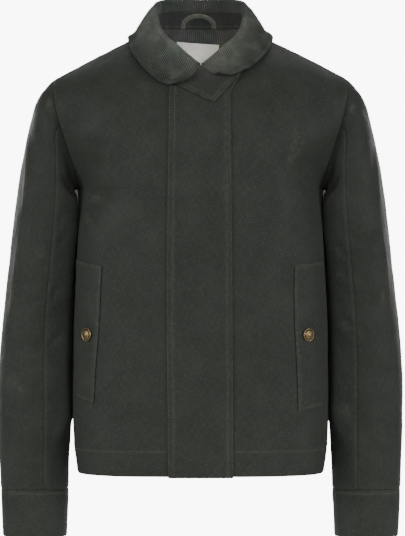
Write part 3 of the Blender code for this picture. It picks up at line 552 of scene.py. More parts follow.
def through(points, counts):
    """Points on a smooth curve through points, with the steps that counts gives each stretch."""
    curve = []
    for k, count in enumerate(counts):
        before = points[max(k - 1, 0)]
        here, there = points[k], points[k + 1]
        after = points[min(k + 2, len(points) - 1)]
        reach = (there - here).length
        slope_here = (there - before).normalized() * reach
        slope_there = (after - here).normalized() * reach
        for step in range(count):
            curve.append(hermite(here, slope_here, there, slope_there, step / count))
    curve.append(points[-1].copy())
    return curve


class Sheet:
    """A grid of points, with the direction out of the cloth at each."""

    def __init__(self, points, turn=1, wrap=False, normals=None):
        self.points = points
        self.wrap = wrap
        self.normals = normals or [
            [self.outward(r, c) * turn for c in range(len(row))]
            for r, row in enumerate(points)
        ]

    def step(self, r, c, rows):
        """The direction across the grid at a point, along its column or along its row."""
        grid = self.points
        if rows:
            return grid[min(r + 1, len(grid) - 1)][c] - grid[max(r - 1, 0)][c]
        cols = len(grid[0])
        if self.wrap:
            return grid[r][(c + 1) % cols] - grid[r][(c - 1) % cols]
        return grid[r][min(c + 1, cols - 1)] - grid[r][max(c - 1, 0)]

    def outward(self, r, c):
        return self.step(r, c, False).cross(self.step(r, c, True)).normalized()

    def mirrored(self):
        points = [[p * FLIP for p in row] for row in self.points]
        normals = [[n * FLIP for n in row] for row in self.normals]
        return Sheet(points, wrap=self.wrap, normals=normals)

    def part(self, rows, cols):
        """A piece of the sheet, cut out by its rows and columns."""
        points = [[self.points[r][c].copy() for c in cols] for r in rows]
        normals = [[self.normals[r][c].copy() for c in cols] for r in rows]
        return Sheet(points, normals=normals)

    def moved_out(self, distance):
        return [
            [p + n * distance for p, n in zip(row, normals)]
            for row, normals in zip(self.points, self.normals)
        ]


def share_normals(sheets):
    """Gives points that sheets have in common one direction, so seam faces lie side by side."""
    totals = {}
    found = []
    for sheet in sheets:
        for row, normals in zip(sheet.points, sheet.normals):
            for c, point in enumerate(row):
                key = tuple(round(v * SAME_POINT) for v in point)
                totals[key] = totals.get(key, Vector()) + normals[c]
                found.append((normals, c, key))
    for normals, c, key in found:
        normals[c] = totals[key].normalized()


def surface_tree(grids):
    """A search tree over grids of points, for laying one piece on others."""
    points, faces = [], []
    for grid in grids:
        start = len(points)
        cols = len(grid[0])
        for row in grid:
            points.extend(row)
        for r in range(len(grid) - 1):
            for c in range(cols - 1):
                corner = start + r * cols + c
                faces.append((corner, corner + 1, corner + cols + 1, corner + cols))
    return BVHTree.FromPolygons(points, faces)


def neck_seam(degrees):
    """A point on the neck seam, from centre back at 0 to centre front at 180."""
    angle = math.radians(degrees)
    forward = math.cos(angle)
    depth, height = (NECK_BACK, NECK_RISE) if forward > 0 else (NECK_FRONT, NECK_DROP)
    return Vector((NECK_HALF * math.sin(angle), NECK_CENTRE + depth * forward, height * forward))


def shoulder_seam(share):
    """A point on the shoulder seam, from the neck to the armhole."""
    x = lerp(NECK_HALF, SHOULDER_HALF, share)
    drop = SHOULDER_SLOPE * (x - NECK_HALF) + SHOULDER_ROLL * share ** SHOULDER_ROLL_NEAR
    return Vector((x, lerp(NECK_CENTRE, SHOULDER_POINT_Y, share), -drop))


def top_edge(column, is_back):
    if column > NECK_COLS:
        return shoulder_seam((column - NECK_COLS) / SHOULDER_COLS)
    turn = 90 * column / NECK_COLS
    return neck_seam(turn if is_back else 180 - turn)


def at_column(column, at_neck, at_side):
    """A value at a column, from 0 at the centre."""
    if column <= NECK_COLS:
        return at_neck * column / NECK_COLS
    return lerp(at_neck, at_side, (column - NECK_COLS) / SHOULDER_COLS)


def section_place(column):
    """Degrees round a lower section at a column, and share of the width across the chest."""
    return at_column(column, NECK_TURN, 90), at_column(column, NECK_HALF / SHOULDER_HALF, 1)


def section_point(z, turn, share, is_back):
    """A point of the body at a height, for a turn round the section or a share of its width."""
    half, front, back = along(BODY, z)
    depth = back if is_back else front
    reach = ARMHOLE_BACK if is_back else ARMHOLE_FRONT
    below = min(max((z - CHEST) / (UNDERARM - CHEST), 0.0), 1.0)
    # The armhole itself is round; the cloth further in leaves the side more gently
    edge = reach * (1 - below ** 2) ** lerp(ARMHOLE_SOFT, 0.5, share ** ARMHOLE_NEAR)
    sine = math.sin(math.radians(turn))
    cosine = max(math.cos(math.radians(turn)), 0.0)
    round_x = half * sine ** (2 / SIDE_POWER)
    round_y = edge + (depth - edge) * cosine ** (2 / SIDE_POWER)
    flat_x = half * share
    flat_y = edge + (depth - edge) * (1 - share ** CHEST_POWER)
    blend = ease((z - CHEST_BLEND) / (CHEST - CHEST_BLEND))
    y = lerp(round_y, flat_y, blend)
    return Vector((lerp(round_x, flat_x, blend), y if is_back else -y, z))


def body_heights():
    turn_top = HEM + HEM_TURN
    heights = [lerp(HEM, turn_top, k / HEM_ROWS) for k in range(HEM_ROWS + 1)]
    step_top = turn_top + HEM_STEP
    heights += [lerp(step_top, UNDERARM, k / WAIST_ROWS) for k in range(WAIST_ROWS + 1)]
    for k in range(1, ARMPIT_ROWS + 1):
        turn = math.radians(90 * k / ARMPIT_ROWS)
        heights.append(lerp(CHEST, UNDERARM, math.cos(turn)))
    return heights


def body_half(is_back):
    """Half of the front or the back, from the centre to the side seam and armhole."""
    heights = body_heights()
    rows = [
        [section_point(z, *section_place(c), is_back) for c in range(BODY_COLS + 1)]
        for z in heights
    ]
    yoke = [[] for _ in range(YOKE_ROWS)]
    for c in range(BODY_COLS + 1):
        start = section_point(CHEST, *section_place(c), is_back)
        below = section_point(CHEST - YOKE_LEAD, *section_place(c), is_back)
        end = top_edge(c, is_back)
        climb, fullness = along(RISE_BACK if is_back else RISE_FRONT, c / BODY_COLS)
        reach = fullness * (end - start).length
        rise = math.radians(climb)
        inward = -math.cos(rise) if is_back else math.cos(rise)
        lean = -ARMHOLE_LEAN * max(c - NECK_COLS, 0) / SHOULDER_COLS
        finish = Vector((lean, inward, math.sin(rise))) * reach
        begin = (start - below).normalized() * reach
        for k in range(YOKE_ROWS):
            yoke[k].append(hermite(start, begin, end, finish, (k + 1) / YOKE_ROWS))
    for row in rows:
        row[0].x = 0.0
    return Sheet(calm_yoke(rows + yoke), turn=-1 if is_back else 1)


def calm_yoke(grid):
    """Evens out the cloth over the shoulders, so the neck's corner raises no ridge in it."""
    first = len(grid) - YOKE_ROWS
    for _ in range(YOKE_PASSES):
        calm = [[p.copy() for p in row] for row in grid]
        for r in range(first, len(grid) - 1):
            share = min((r - first + 1) / YOKE_CALM_ROWS, 1.0) * YOKE_CALM
            for c in range(BODY_COLS):
                beside = grid[r][c - 1] if c else grid[r][1] * FLIP
                around = grid[r - 1][c] + grid[r + 1][c] + beside + grid[r][c + 1]
                calm[r][c] = lerp(grid[r][c], around / 4, share)
        grid = calm
    return grid


def armhole_loop(front, back):
    """The armhole from the shoulder point down its front and up its back."""
    top = len(front.points) - 1
    down = [front.points[top - k][-1] for k in range(ARMHOLE_ROWS + 1)]
    up = [back.points[top - k][-1] for k in range(ARMHOLE_ROWS - 1, 0, -1)]
    return down + up


def body_side_x(y, z):
    """How wide the body is at a depth, below the armholes."""
    half, front, back = along(BODY, z)
    share = min(abs(y) / (back if y > 0 else front), 1.0)
    return half * (1 - share ** SIDE_POWER) ** (1 / SIDE_POWER)


def sleeve_ring(row):
    """One ring of the sleeve from a table row, starting at its outermost point."""
    outer_x, outer_z, inner_x, inner_z, front_y, back_y = row
    outer = Vector((outer_x, 0, outer_z))
    inner = Vector((inner_x, 0, inner_z))
    middle = (outer + inner) / 2
    middle_y = (front_y + back_y) / 2
    half_depth = (back_y - front_y) / 2
    ring = []
    for c in range(SLEEVE_COLS):
        even = 360 * c / SLEEVE_COLS
        angle = math.radians(even + SEAM_SHIFT * math.sin(math.radians(even)))
        across = math.copysign(abs(math.cos(angle)) ** (2 / SLEEVE_POWER), math.cos(angle))
        deep = math.copysign(abs(math.sin(angle)) ** (2 / SLEEVE_POWER), math.sin(angle))
        point = middle + (outer - middle) * across
        point.y = middle_y - half_depth * deep
        hug = ease((HUG_FROM - point.z) / (HUG_FROM - HUG_FULL))
        hug *= ease((point.z - HUG_GONE) / (HUG_END - HUG_GONE))
        if point.z < HUG_FROM:
            past_welt = WELT_CLEAR * ease((WELT_FROM - point.y) / WELT_SPAN)
            past_welt *= ease((WELT_OVER + WELT_OVER_SPAN - point.z) / WELT_OVER_SPAN)
            side = body_side_x(point.y, point.z) + SLEEVE_CLEAR + past_welt
            press = hug * ease((-across - HUG_ACROSS) / HUG_SPAN)
            point.x = max(lerp(point.x, side, press), side)
        ring.append(point)
    return ring


def sleeve_rings(loop):
    """The whole sleeve, which leaves the armhole in the armhole's own shape."""
    rings = [sleeve_ring(row) for row in SLEEVE]
    offsets = [a - b for a, b in zip(loop, rings[0])]
    for k in range(CAP_RINGS):
        weight = 1 - ease(k / CAP_RINGS)
        rings[k] = [p + move * weight for p, move in zip(rings[k], offsets)]
    rings[0] = [p.copy() for p in loop]
    return rings


def leaf_shift(degrees):
    """The wearer's left leaf sits a little higher and wider."""
    share = (degrees - LEFT_LEAF_FROM) / (LEFT_LEAF_FULL - LEFT_LEAF_FROM)
    return LEFT_LEAF_SHIFT * ease(share)


def collar_line(degrees, left):
    """Neck seam, fold and outer edge of the collar at an angle round the neck."""
    values = along(COLLAR, degrees)
    fold, edge = Vector(values[:3]), Vector(values[3:6])
    if left:
        shift = leaf_shift(degrees)
        edge += shift
        fold.x += shift.x
    return neck_seam(degrees), fold, edge


def collar_directions(seam, fold, edge):
    up = (fold - seam).normalized()
    out = Vector((edge.x - fold.x, edge.y - fold.y, 0)).normalized()
    return up, out


def stand_column(degrees, left):
    seam, fold, edge = collar_line(degrees, left)
    out = collar_directions(seam, fold, edge)[1]
    top = fold + out * STAND_WALL
    return [lerp(seam, top, STAND_SHARE * k / 2) for k in range(3)]


def both_sides(column_at, angles):
    """Columns from the wearer's right front, round the back, to the left front."""
    right = [[p * FLIP for p in column_at(a, False)] for a in reversed(angles)]
    left = [column_at(a, True) for a in angles[1:]]
    return right + left


def rows_of(columns):
    return [list(row) for row in zip(*columns)]


def fall_column(degrees, left, start):
    """The visible side of the collar's fall: up from the stand, over the fold, down outside."""
    seam, fold, edge = collar_line(degrees, left)
    up, out = collar_directions(seam, fold, edge)
    swelling, width = along(COLLAR, degrees)[-2:]
    swell = (up + out).normalized() * swelling
    drop = min(ROLL_DROP, ROLL_STEEP * width)
    down_side = fold + out * width - up * drop + swell * ROLL_SWELL
    middle = lerp(down_side, edge, 0.5) + swell
    points = [
        start + up * 2 * SEAM_GAP,
        fold - up * drop,
        fold + out * width * ROLL_ENTRY,
        fold + out * width * 0.5 + up * ROLL_RISE,
        down_side,
        middle,
        edge,
    ]
    return through(points, FALL_STEPS)


def fall_angles():
    """Stations of the fall in neck columns: finer where the leaf's end is rounded."""
    whole = 2 * NECK_COLS
    stations = [float(k) for k in range(whole - LEAF_END_FROM)]
    count = LEAF_END_FROM * LEAF_END_STEPS
    stations += [whole - LEAF_END_FROM + k / LEAF_END_STEPS for k in range(count + 1)]
    return stations


def lift_clear(point, tree, clearance):
    """Moves a point away from the surfaces under it until it is clear of them."""
    spot, normal, _, _ = tree.find_nearest(point)
    height = (point - spot).dot(normal)
    if height < clearance:
        return point + normal * (clearance - height)
    return point


def lay_fall(columns, tree):
    for column in columns:
        for k in range(FALL_LAID_FROM, len(column)):
            column[k] = lift_clear(column[k], tree, FALL_WALL + FALL_GAP)


def make_fall(starts, tree):
    """The collar's fall, from the stand's top over the shoulders and what lies at the throat."""
    whole = 2 * NECK_COLS
    stations = fall_angles()
    columns = []
    for station in [-s for s in reversed(stations)] + stations[1:]:
        place = station + whole
        low = min(int(place), 2 * whole - 1)
        start = lerp(starts[low], starts[low + 1], place - low)
        left = station > 0
        flip = Vector((1 if left else -1, 1, 1))
        column = fall_column(180 * abs(station) / whole, left, start * flip)
        columns.append([p * flip for p in column])
    for _ in range(FALL_PASSES):
        lay_fall(columns, tree)
        smoothed = [[p.copy() for p in column] for column in columns]
        for c in range(1, len(columns) - 1):
            for k in range(FALL_LAID_FROM, len(columns[c]) - 1):
                beside = (columns[c - 1][k] + columns[c + 1][k]) / 2
                smoothed[c][k] = lerp(columns[c][k], beside, FALL_CALM)
        columns = smoothed
    lay_fall(columns, tree)
    sheet = Sheet(rows_of(columns))
    under = sheet.moved_out(-FALL_WALL)
    for r in range(FALL_LAID_FROM, len(under)):
        for c, point in enumerate(under[r]):
            move = lift_clear(point, tree, FALL_GAP) - point
            sheet.points[r][c] = sheet.points[r][c] + move
    return sheet.points


def front_spot(tree, x, z):
    """Where a line from in front meets a surface; past its edge, straight on from the edge."""
    aim_x = math.copysign(max(abs(x), CENTRE_CLEAR), x)
    for step in range(SPOT_STEPS):
        for level in (z - step, z + step):
            spot = tree.ray_cast(Vector((aim_x, FIRST_RAY, level)), BACKWARD)[0]
            if spot and spot.y < FRONT_LIMIT:
                return Vector((x, spot.y, z))
    return None


def lay_on(tree, places, height):
    """A grid at a height over the surface that it is laid on, from places in the front view."""
    sheet = Sheet([[front_spot(tree, x, z) for x, z in row] for row in places])
    return sheet.moved_out(height)


def flap_places():
    places = []
    for r in range(FLAP_ROWS + 1):
        share = r / FLAP_ROWS
        z = lerp(FLAP[0][0], FLAP[-1][0], 1 - (1 - share) ** FLAP_CROWDING)
        low, high = along(FLAP, z)
        row = []
        for c in range(FLAP_COLS + 1):
            x = lerp(low, high, c / FLAP_COLS)
            dip = ease((z - FLAP_DIP_FROM) / FLAP_DIP_SPAN) * FLAP_TOP_DIP
            row.append((x, z - dip * (1 - min(abs(x) / FLAP_DIP_HALF, 1) ** 2)))
        places.append(row)
    return places


def tab_places():
    ends = list(zip(TAB_LEFT, TAB_TIP, TAB_TOP, TAB_RIGHT))
    steps = [k / TAB_STEPS for k in range(TAB_STEPS + 1)]
    return [
        [tuple(lerp(lerp(a, b, over), lerp(d, e, over), up) for a, b, d, e in ends)
         for over in steps]
        for up in steps
    ]


def relax(grid):
    """Evens out a grid inside its edges, as stiff cloth does over a step."""
    for _ in range(TAB_PASSES):
        calm = [[p.copy() for p in row] for row in grid]
        for r in range(1, len(grid) - 1):
            for c in range(1, len(grid[0]) - 1):
                around = grid[r - 1][c] + grid[r + 1][c] + grid[r][c - 1] + grid[r][c + 1]
                calm[r][c].y = min(grid[r][c].y, around.y / 4)
        grid = calm
    return grid


def body_turn_at(x, z):
    """Degrees round the front's section where it reaches x."""
    half = along(BODY, z)[0]
    return math.degrees(math.asin(min(x / half, 1.0) ** (SIDE_POWER / 2)))


def welt_sheet(side):
    """A pocket welt's place on the wearer's left front."""
    top, top_rise, bottom, bottom_rise = WELT_ENDS[side]
    rows = []
    for r in range(WELT_ROWS + 1):
        row = []
        for c in range(WELT_COLS + 1):
            over = c / WELT_COLS
            z = lerp(bottom + bottom_rise * over, top + top_rise * over, r / WELT_ROWS)
            sewn, free = along(WELT[side], z)
            pull = WELT_PINCH * math.exp(-((z - SNAP_Z) / WELT_PINCH_REACH) ** 2)
            turn = lerp(body_turn_at(sewn, z), body_turn_at(free - pull, z), over)
            row.append(section_point(z, turn, 0, False))
        rows.append(row)
    return Sheet(rows)


def facing_points(back):
    """The back neck facing's inner face, inside the back."""
    reach = NECK_COLS + FACING_SHOULDER_COLS
    top = len(back.points) - 1
    rows = range(top - FACING_ROWS, top + 1)
    cols = range(BODY_COLS - reach, BODY_COLS + reach + 1)
    return back.part(rows, cols).moved_out(-(SHELL_WALL + LAY_GAP) - FACING_WALL)


# Fine cloth. A field is a grid of points or of numbers: rows, columns, then x, y and z


def spaced(grid, pitch, marks=(), ends=True):
    """Places along a grid's first way: even, finer at its ends and at distances marked."""
    steps = np.linalg.norm(np.diff(grid, axis=0), axis=2).mean(axis=1)
    reach = np.concatenate([[0.0], np.cumsum(steps)])
    wanted = []
    for k, step in enumerate(steps):
        count = max(1, math.ceil(step / pitch))
        wanted += [reach[k] + step * i / count for i in range(count)]
    if ends:
        wanted += list(EDGE_STEPS) + [reach[-1] - step for step in EDGE_STEPS]
    for mark in marks:
        at = mark if mark > 0 else reach[-1] + mark
        wanted += [at - STITCH_ROLL[1], at, at + STITCH_ROLL[1]]
    kept = [0.0]
    for distance in sorted(wanted):
        if distance - kept[-1] > FINEST_STEP and reach[-1] - distance > FINEST_STEP:
            kept.append(distance)
    kept.append(reach[-1])
    return np.interp(kept, reach, np.arange(len(reach)))


def unit(field):
    return field / np.maximum(np.linalg.norm(field, axis=-1, keepdims=True), 1e-9)


def sampled(grid, places, closed=False):
    """Points at places along a grid's first way, on smooth curves through its own points."""
    last = len(grid) - 1
    k = np.minimum(places.astype(int), last - 1)
    t = (places - k)[:, None, None]
    here, there = grid[k], grid[k + 1]
    if closed:
        before, after = grid[(k - 1) % last], grid[(k + 2) % last]
    else:
        before, after = grid[np.maximum(k - 1, 0)], grid[np.minimum(k + 2, last)]
    reach = np.linalg.norm(there - here, axis=-1, keepdims=True)
    return hermite(here, unit(there - before) * reach, there, unit(after - here) * reach, t)


def straight(grid, places):
    """The same on straight lines."""
    k = np.minimum(places.astype(int), len(grid) - 2)
    return lerp(grid[k], grid[k + 1], (places - k)[:, None, None])


def turned(grid):
    return grid.swapaxes(0, 1)


def as_field(points, closed=False):
    field = np.array([[tuple(p) for p in row] for row in points])
    return np.concatenate([field, field[:, :1]], axis=1) if closed else field


def fine(points, closed=False, pitch=GRID_PITCH, row_marks=(), col_marks=(), normals=None):
    """A fine field on a coarse grid and, on request, the coarse grid's normals beside it."""
    field = as_field(points, closed)
    rows_at = spaced(field, pitch, row_marks)
    field = sampled(field, rows_at)
    cols_at = spaced(turned(field), pitch, col_marks, ends=not closed)
    field = turned(sampled(turned(field), cols_at, closed))
    if normals is None:
        return field
    shared = straight(as_field(normals, closed), rows_at)
    return field, turned(straight(turned(shared), cols_at))


def ribbed(points, pitch, row_pitch, at_row, row_marks=()):
    """A fine field whose columns are evenly spaced ribs, and each point's place on its rib."""
    field = as_field(points)
    field = sampled(field, spaced(field, row_pitch, row_marks))
    row = field[int(at_row * (len(field) - 1))]
    reach = np.concatenate([[0.0], np.cumsum(np.linalg.norm(np.diff(row, axis=0), axis=1))])
    ribs = round(reach[-1] / pitch)
    even = np.linspace(0, reach[-1], ribs * WALE_STEPS + 1)
    places = np.interp(even, reach, np.arange(len(reach)))
    field = turned(sampled(turned(field), places))
    phase = np.arange(field.shape[1]) % WALE_STEPS / WALE_STEPS
    rib = np.sin(math.pi * phase) ** WALE_SHARPNESS
    return field, np.broadcast_to(rib, field.shape[:2])


def facing_out(field, turn=1, closed=False):
    across = np.gradient(field, axis=1)
    if closed:
        across[:, 0] = across[:, -1] = field[:, 1] - field[:, -2]
    return unit(np.cross(across, np.gradient(field, axis=0))) * turn


def lengths(field, way):
    """How far each point is along its row or column from the first one."""
    steps = np.linalg.norm(np.diff(field, axis=way), axis=-1)
    start = np.zeros_like(np.take(steps, [0], axis=way))
    return np.concatenate([start, np.cumsum(steps, axis=way)], axis=way)


def bell(distance, width):
    return np.exp(-(distance / width) ** 2)


def rolled(distance, roll):
    depth, width = roll
    return -depth * bell(distance, width)


LEFT, RIGHT, BOTTOM, TOP = range(4)     # first column, last column, first row, last row


def edges_of(field):
    """Distances from a field's four edges."""
    across, down = lengths(field, 1), lengths(field, 0)
    return across, across[:, -1:] - across, down, down[-1:] - down


def waves(field, size, start, height):
    spots = (field / size + start).reshape(-1, 3)
    found = np.array([noise.noise(Vector(spot)) for spot in spots])
    return height * found.reshape(field.shape[:2])


def ripples(field, swell=1.0, crinkle=1.0):
    """The cloth's unevenness: long soft swells down the drop and finer crinkles of wax."""
    sharp = waves(field, *CRINKLES) - abs(waves(field, *RUMPLES))
    return swell * waves(field, *SWELLS) + crinkle * sharp


def creases(field, normals, table, side):
    """Soft troughs and ridges from a table, on the side of the cloth that faces one way."""
    x, z = field[..., 0], field[..., 2]
    total = np.zeros(x.shape)
    lip_at, lip_width, lip_share = CREASE_LIP
    for x0, z0, x1, z1, width, depth, bow in table:
        length = math.hypot(x1 - x0, z1 - z0)
        dx, dz = (x1 - x0) / length, (z1 - z0) / length
        share = ((x - x0) * dx + (z - z0) * dz) / length
        off = (x - x0) * dz - (z - z0) * dx + bow * 4 * share * (1 - share)
        fade = ease(np.minimum(share, 1 - share) / CREASE_TAPER)
        lip = bell(off - lip_at * width, lip_width * width)
        total += depth * fade * (bell(off, width) - lip_share * lip)
    return total * ease(side * normals[..., 1] / FACING_FADE)


def rumpled(field, normals, calm, front, back, beside):
    """What moves waxed cloth from its plain form; beside a neighbour nothing stands out."""
    move = ripples(field)
    move += creases(field, normals, front, -1) * calm
    move += creases(field, normals, back, 1) * calm
    beside = beside * ease((BESIDE_HEIGHT - field[..., 2]) / BESIDE_HEIGHT_FADE)
    return move - beside * np.maximum(move, 0)


def body_form(field, normals, calm=1.0):
    """The body's own form, and that of all that is laid on it."""
    beside = ease((np.abs(field[..., 0]) - BESIDE_OUT) / BESIDE_OUT_FADE)
    return rumpled(field, normals, calm, BODY_FRONT_CREASES, BODY_BACK_CREASES, beside)


def sleeve_form(field, normals, calm=1.0):
    beside = ease(-np.sign(field[..., 0]) * normals[..., 0] / FACING_FADE)
    return rumpled(field, normals, calm, SLEEVE_FRONT_CREASES, SLEEVE_BACK_CREASES, beside)


def moved(field, normals, distance):
    return field + normals * distance[..., None]


def add_piece(name, bm, finish):
    mesh = bpy.data.meshes.new(name)
    bm.to_mesh(mesh)
    bm.free()
    mesh.shade_smooth()
    mesh.materials.append(finish)
    piece = bpy.data.objects.new(name, mesh)
    bpy.context.scene.collection.objects.link(piece)
    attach(piece, "root")
    return piece


def make_cloth(name, field, wall, finish, slot, turn=1, closed=False, **layers):
    """A sheet of cloth with a real thickness; layers are fields that its finish reads."""
    rows, cols = field.shape[:2]
    bm = bmesh.new()
    bmesh.ops.create_grid(bm, x_segments=cols - 1, y_segments=rows - 1, size=1)
    bm.verts.ensure_lookup_table()
    kept = [(bm.verts.layers.float.new(key), values.ravel()) for key, values in layers.items()]
    for k, (vertex, place) in enumerate(zip(bm.verts, field.reshape(-1, 3))):
        vertex.co = place * MM
        for layer, values in kept:
            vertex[layer] = values[k]
    across, down = lengths(field, 1).ravel() * MM, lengths(field, 0).ravel() * MM
    uv = bm.loops.layers.uv.new("cloth")
    for face in bm.faces:
        for loop in face.loops:
            loop[uv].uv = (across[loop.vert.index], down[loop.vert.index])
    if turn < 0:
        bmesh.ops.reverse_faces(bm, faces=bm.faces)
    if closed:
        bmesh.ops.remove_doubles(bm, verts=bm.verts, dist=1e-6)
    piece = add_piece(name, bm, finish)
    thick = piece.modifiers.new("wall", "SOLIDIFY")
    thick.thickness = wall * MM
    thick.offset = -1
    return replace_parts(piece, name)


def stitch_row(cloth, edge, inset, end=np.mean):
    """The points of a row of stitches, in from one edge of a piece, and their ways out."""
    field, normals = cloth
    measure = edges_of(field)[LEFT if edge in (LEFT, RIGHT) else BOTTOM]
    if edge in (LEFT, RIGHT):
        field, normals, measure = turned(field), turned(normals), measure.T
    if edge == RIGHT:
        inset = measure[-1, 0] - inset
    elif edge == TOP:
        inset = end(measure[-1]) - inset
    points, outs = [], []
    for c in range(field.shape[1]):
        column = measure[:, c]
        r = int(np.searchsorted(column, inset))
        if 0 < r < len(column):
            t = (inset - column[r - 1]) / (column[r] - column[r - 1])
            points.append(Vector(lerp(field[r - 1, c], field[r, c], t)))
            outs.append(Vector(lerp(normals[r - 1, c], normals[r, c], t)).normalized())
    return points, outs


def sew(name, rows):
    """Rows of stitches, each a small bead of thread lying on the cloth."""
    bm = bmesh.new()
    for points, outs in rows:
        row = bmesh.new()
        gone, due = 0.0, STITCH
        for here, there, out in zip(points, points[1:], outs):
            step = (there - here).length
            ahead = (there - here).normalized() if step > 1e-6 else Vector((1, 0, 0))
            while gone + step >= due and step > 1e-6:
                beside = out.cross(ahead).normalized()
                place = Matrix((ahead * STITCH / 2, beside * THREAD, out * THREAD))
                place = place.transposed().to_4x4()
                spot = lerp(here, there, (due - gone) / step)
                place.translation = spot + out * THREAD * THREAD_LIFT
                bmesh.ops.create_icosphere(row, subdivisions=1, radius=1, matrix=place)
                due += STITCH + STITCH_GAP
            gone += step
        part = bpy.data.meshes.new("row")
        row.to_mesh(part)
        row.free()
        bm.from_mesh(part)
        bpy.data.meshes.remove(part)
    bmesh.ops.scale(bm, vec=(MM, MM, MM), verts=bm.verts)
    bmesh.ops.recalc_face_normals(bm, faces=bm.faces)
    add_piece("stitching_" + name, bm, THREADS)


# Finishes


def colour(code):
    """An sRGB hex value as linear red, green, blue and alpha."""
    parts = [int(code[k:k + 2], 16) / 255 for k in (1, 3, 5)]
    linear = [c / 12.92 if c <= 0.04045 else ((c + 0.055) / 1.055) ** 2.4 for c in parts]
    return (*linear, 1)


def plug(tree, node, inputs):
    """Links sockets to a node's inputs, or sets them, by name or number."""
    for key, value in inputs.items():
        if isinstance(value, bpy.types.NodeSocket):
            tree.links.new(value, node.inputs[key])
        else:
            node.inputs[key].default_value = value


def add_node(tree, kind, inputs=None, out=0, **settings):
    """Adds a node with its settings and inputs, and gives one of its outputs."""
    made = tree.nodes.new("ShaderNode" + kind)
    for key, value in settings.items():
        setattr(made, key, value)
    plug(tree, made, inputs or {})
    return made.outputs[out]


def new_finish(name):
    made = bpy.data.materials.new(name)
    made.use_nodes = True
    return made, made.node_tree, made.node_tree.nodes["Principled BSDF"]


def waxed_cotton():
    """Cotton canvas dressed with wax: dark, mottled where the wax lies thicker, soft low gloss."""
    made, tree, shader = new_finish("waxed cotton canvas")
    where = add_node(tree, "TexCoord", out="Object")
    cloth = add_node(tree, "TexCoord", out="UV")
    # Wax clouds 30 to 60 mm across
    cloud = add_node(tree, "TexNoise", {
        "Vector": where, "Scale": 24, "Detail": 5, "Roughness": 0.62})
    shade = add_node(tree, "MapRange", {"Value": cloud, "From Min": 0.22, "From Max": 0.8})
    tone = add_node(tree, "Mix", {0: shade, 6: colour(WAXED_DARK), 7: colour(WAXED_MID)},
                    out=2, data_type="RGBA")
    # Threads are 0.4 mm apart; the slubs are drawn 1 mm wide, as fine as shows
    slubs = []
    for size in ((1000, 130, 1), (140, 900, 1)):
        drawn = add_node(tree, "Mapping", {"Vector": cloth, "Scale": size})
        slubs.append(add_node(tree, "TexNoise", {"Vector": drawn, "Scale": 1, "Detail": 3}))
    both = add_node(tree, "Math", {0: slubs[0], 1: slubs[1]}, operation="ADD")
    weave = add_node(tree, "MapRange", {"Value": both, "From Min": 0.82, "From Max": 1.22})
    bloom = add_node(tree, "MapRange", {"Value": weave, "From Min": 0.3, "To Max": 0.5})
    # Rubbed places: folded edges, seams and the tops of creases, mottled 5 mm across; on ridge
    # tops the paleness is partly a painted highlight
    worn = add_node(tree, "Attribute", out="Fac", attribute_name="wear")
    chalk = add_node(tree, "TexNoise", {"Vector": where, "Scale": 210, "Detail": 4})
    chalk = add_node(tree, "MapRange", {
        "Value": chalk, "From Min": 0.36, "From Max": 0.62, "To Min": 0.15})
    pale = add_node(tree, "Math", {0: worn, 1: chalk}, operation="MULTIPLY")
    # Lint: pale flecks under a millimetre wide, a few in a hand's breadth
    lint = add_node(tree, "TexVoronoi", {"Vector": where, "Scale": 75}, out="Distance")
    fleck = add_node(tree, "MapRange", {
        "Value": lint, "From Min": 0.045, "From Max": 0.03, "To Max": 0.5})
    for share, shade in ((bloom, WAXED_BLOOM), (pale, WAXED_WORN), (fleck, WAXED_WORN)):
        tone = add_node(tree, "Mix", {0: share, 6: tone, 7: colour(shade)},
                        out=2, data_type="RGBA")
    gloss = add_node(tree, "MapRange", {
        "Value": cloud, "From Min": 0.3, "From Max": 0.7, "To Min": 0.66, "To Max": 0.5})
    grain = add_node(tree, "Bump", {"Height": weave, "Strength": 0.35, "Distance": 0.0006})
    plug(tree, shader, {
        "Base Color": tone, "Roughness": gloss, "Normal": grain,
        "IOR": 1.3, "Sheen Weight": 0.06, "Sheen Roughness": 0.4,
    })
    return made


def corduroy():
    """Cut-pile cotton ribs: dark between the wales as painted shade in the grooves, paler where
    the nap catches light as painted sheen.
    """
    made, tree, shader = new_finish("cotton corduroy")
    where = add_node(tree, "TexCoord", out="Object")
    rib = add_node(tree, "Attribute", out="Fac", attribute_name="rib")
    # Pile tufts about a millimetre wide
    pile = add_node(tree, "TexNoise", {"Vector": where, "Scale": 900, "Detail": 2})
    tuft = add_node(tree, "MapRange", {
        "Value": pile, "From Min": 0.3, "From Max": 0.7, "To Min": 0.7, "To Max": 1.1})
    crown = add_node(tree, "Math", {0: rib, 1: tuft}, operation="MULTIPLY")
    # Painted shade: the grooves between the wales take the near-black groove colour, the wale tops
    # the ridge colour
    tone = add_node(tree, "Mix", {
        0: crown, 6: colour(CORDUROY_GROOVE_SHADE), 7: colour(CORDUROY_RIDGE)},
        out=2, data_type="RGBA")
    # Painted sheen: paler patches 15 to 30 mm across on the wale tops, where the nap lying one way
    # or the other would catch the light
    nap = add_node(tree, "TexNoise", {
        "Vector": where, "Scale": 42, "Detail": 3, "Roughness": 0.6})
    nap = add_node(tree, "MapRange", {
        "Value": nap, "From Min": 0.46, "From Max": 0.68, "To Max": 0.6})
    nap_sheen = add_node(tree, "Math", {0: crown, 1: nap}, operation="MULTIPLY")
    tone = add_node(tree, "Mix", {0: nap_sheen, 6: tone, 7: colour(CORDUROY_NAP_SHEEN)},
                    out=2, data_type="RGBA")
    fuzz = add_node(tree, "Bump", {"Height": pile, "Strength": 0.5, "Distance": 0.0004})
    plug(tree, shader, {
        "Base Color": tone, "Roughness": 0.9, "Normal": fuzz,
        "IOR": 1.25, "Sheen Weight": 0.06, "Sheen Roughness": 0.5,
    })
    return made


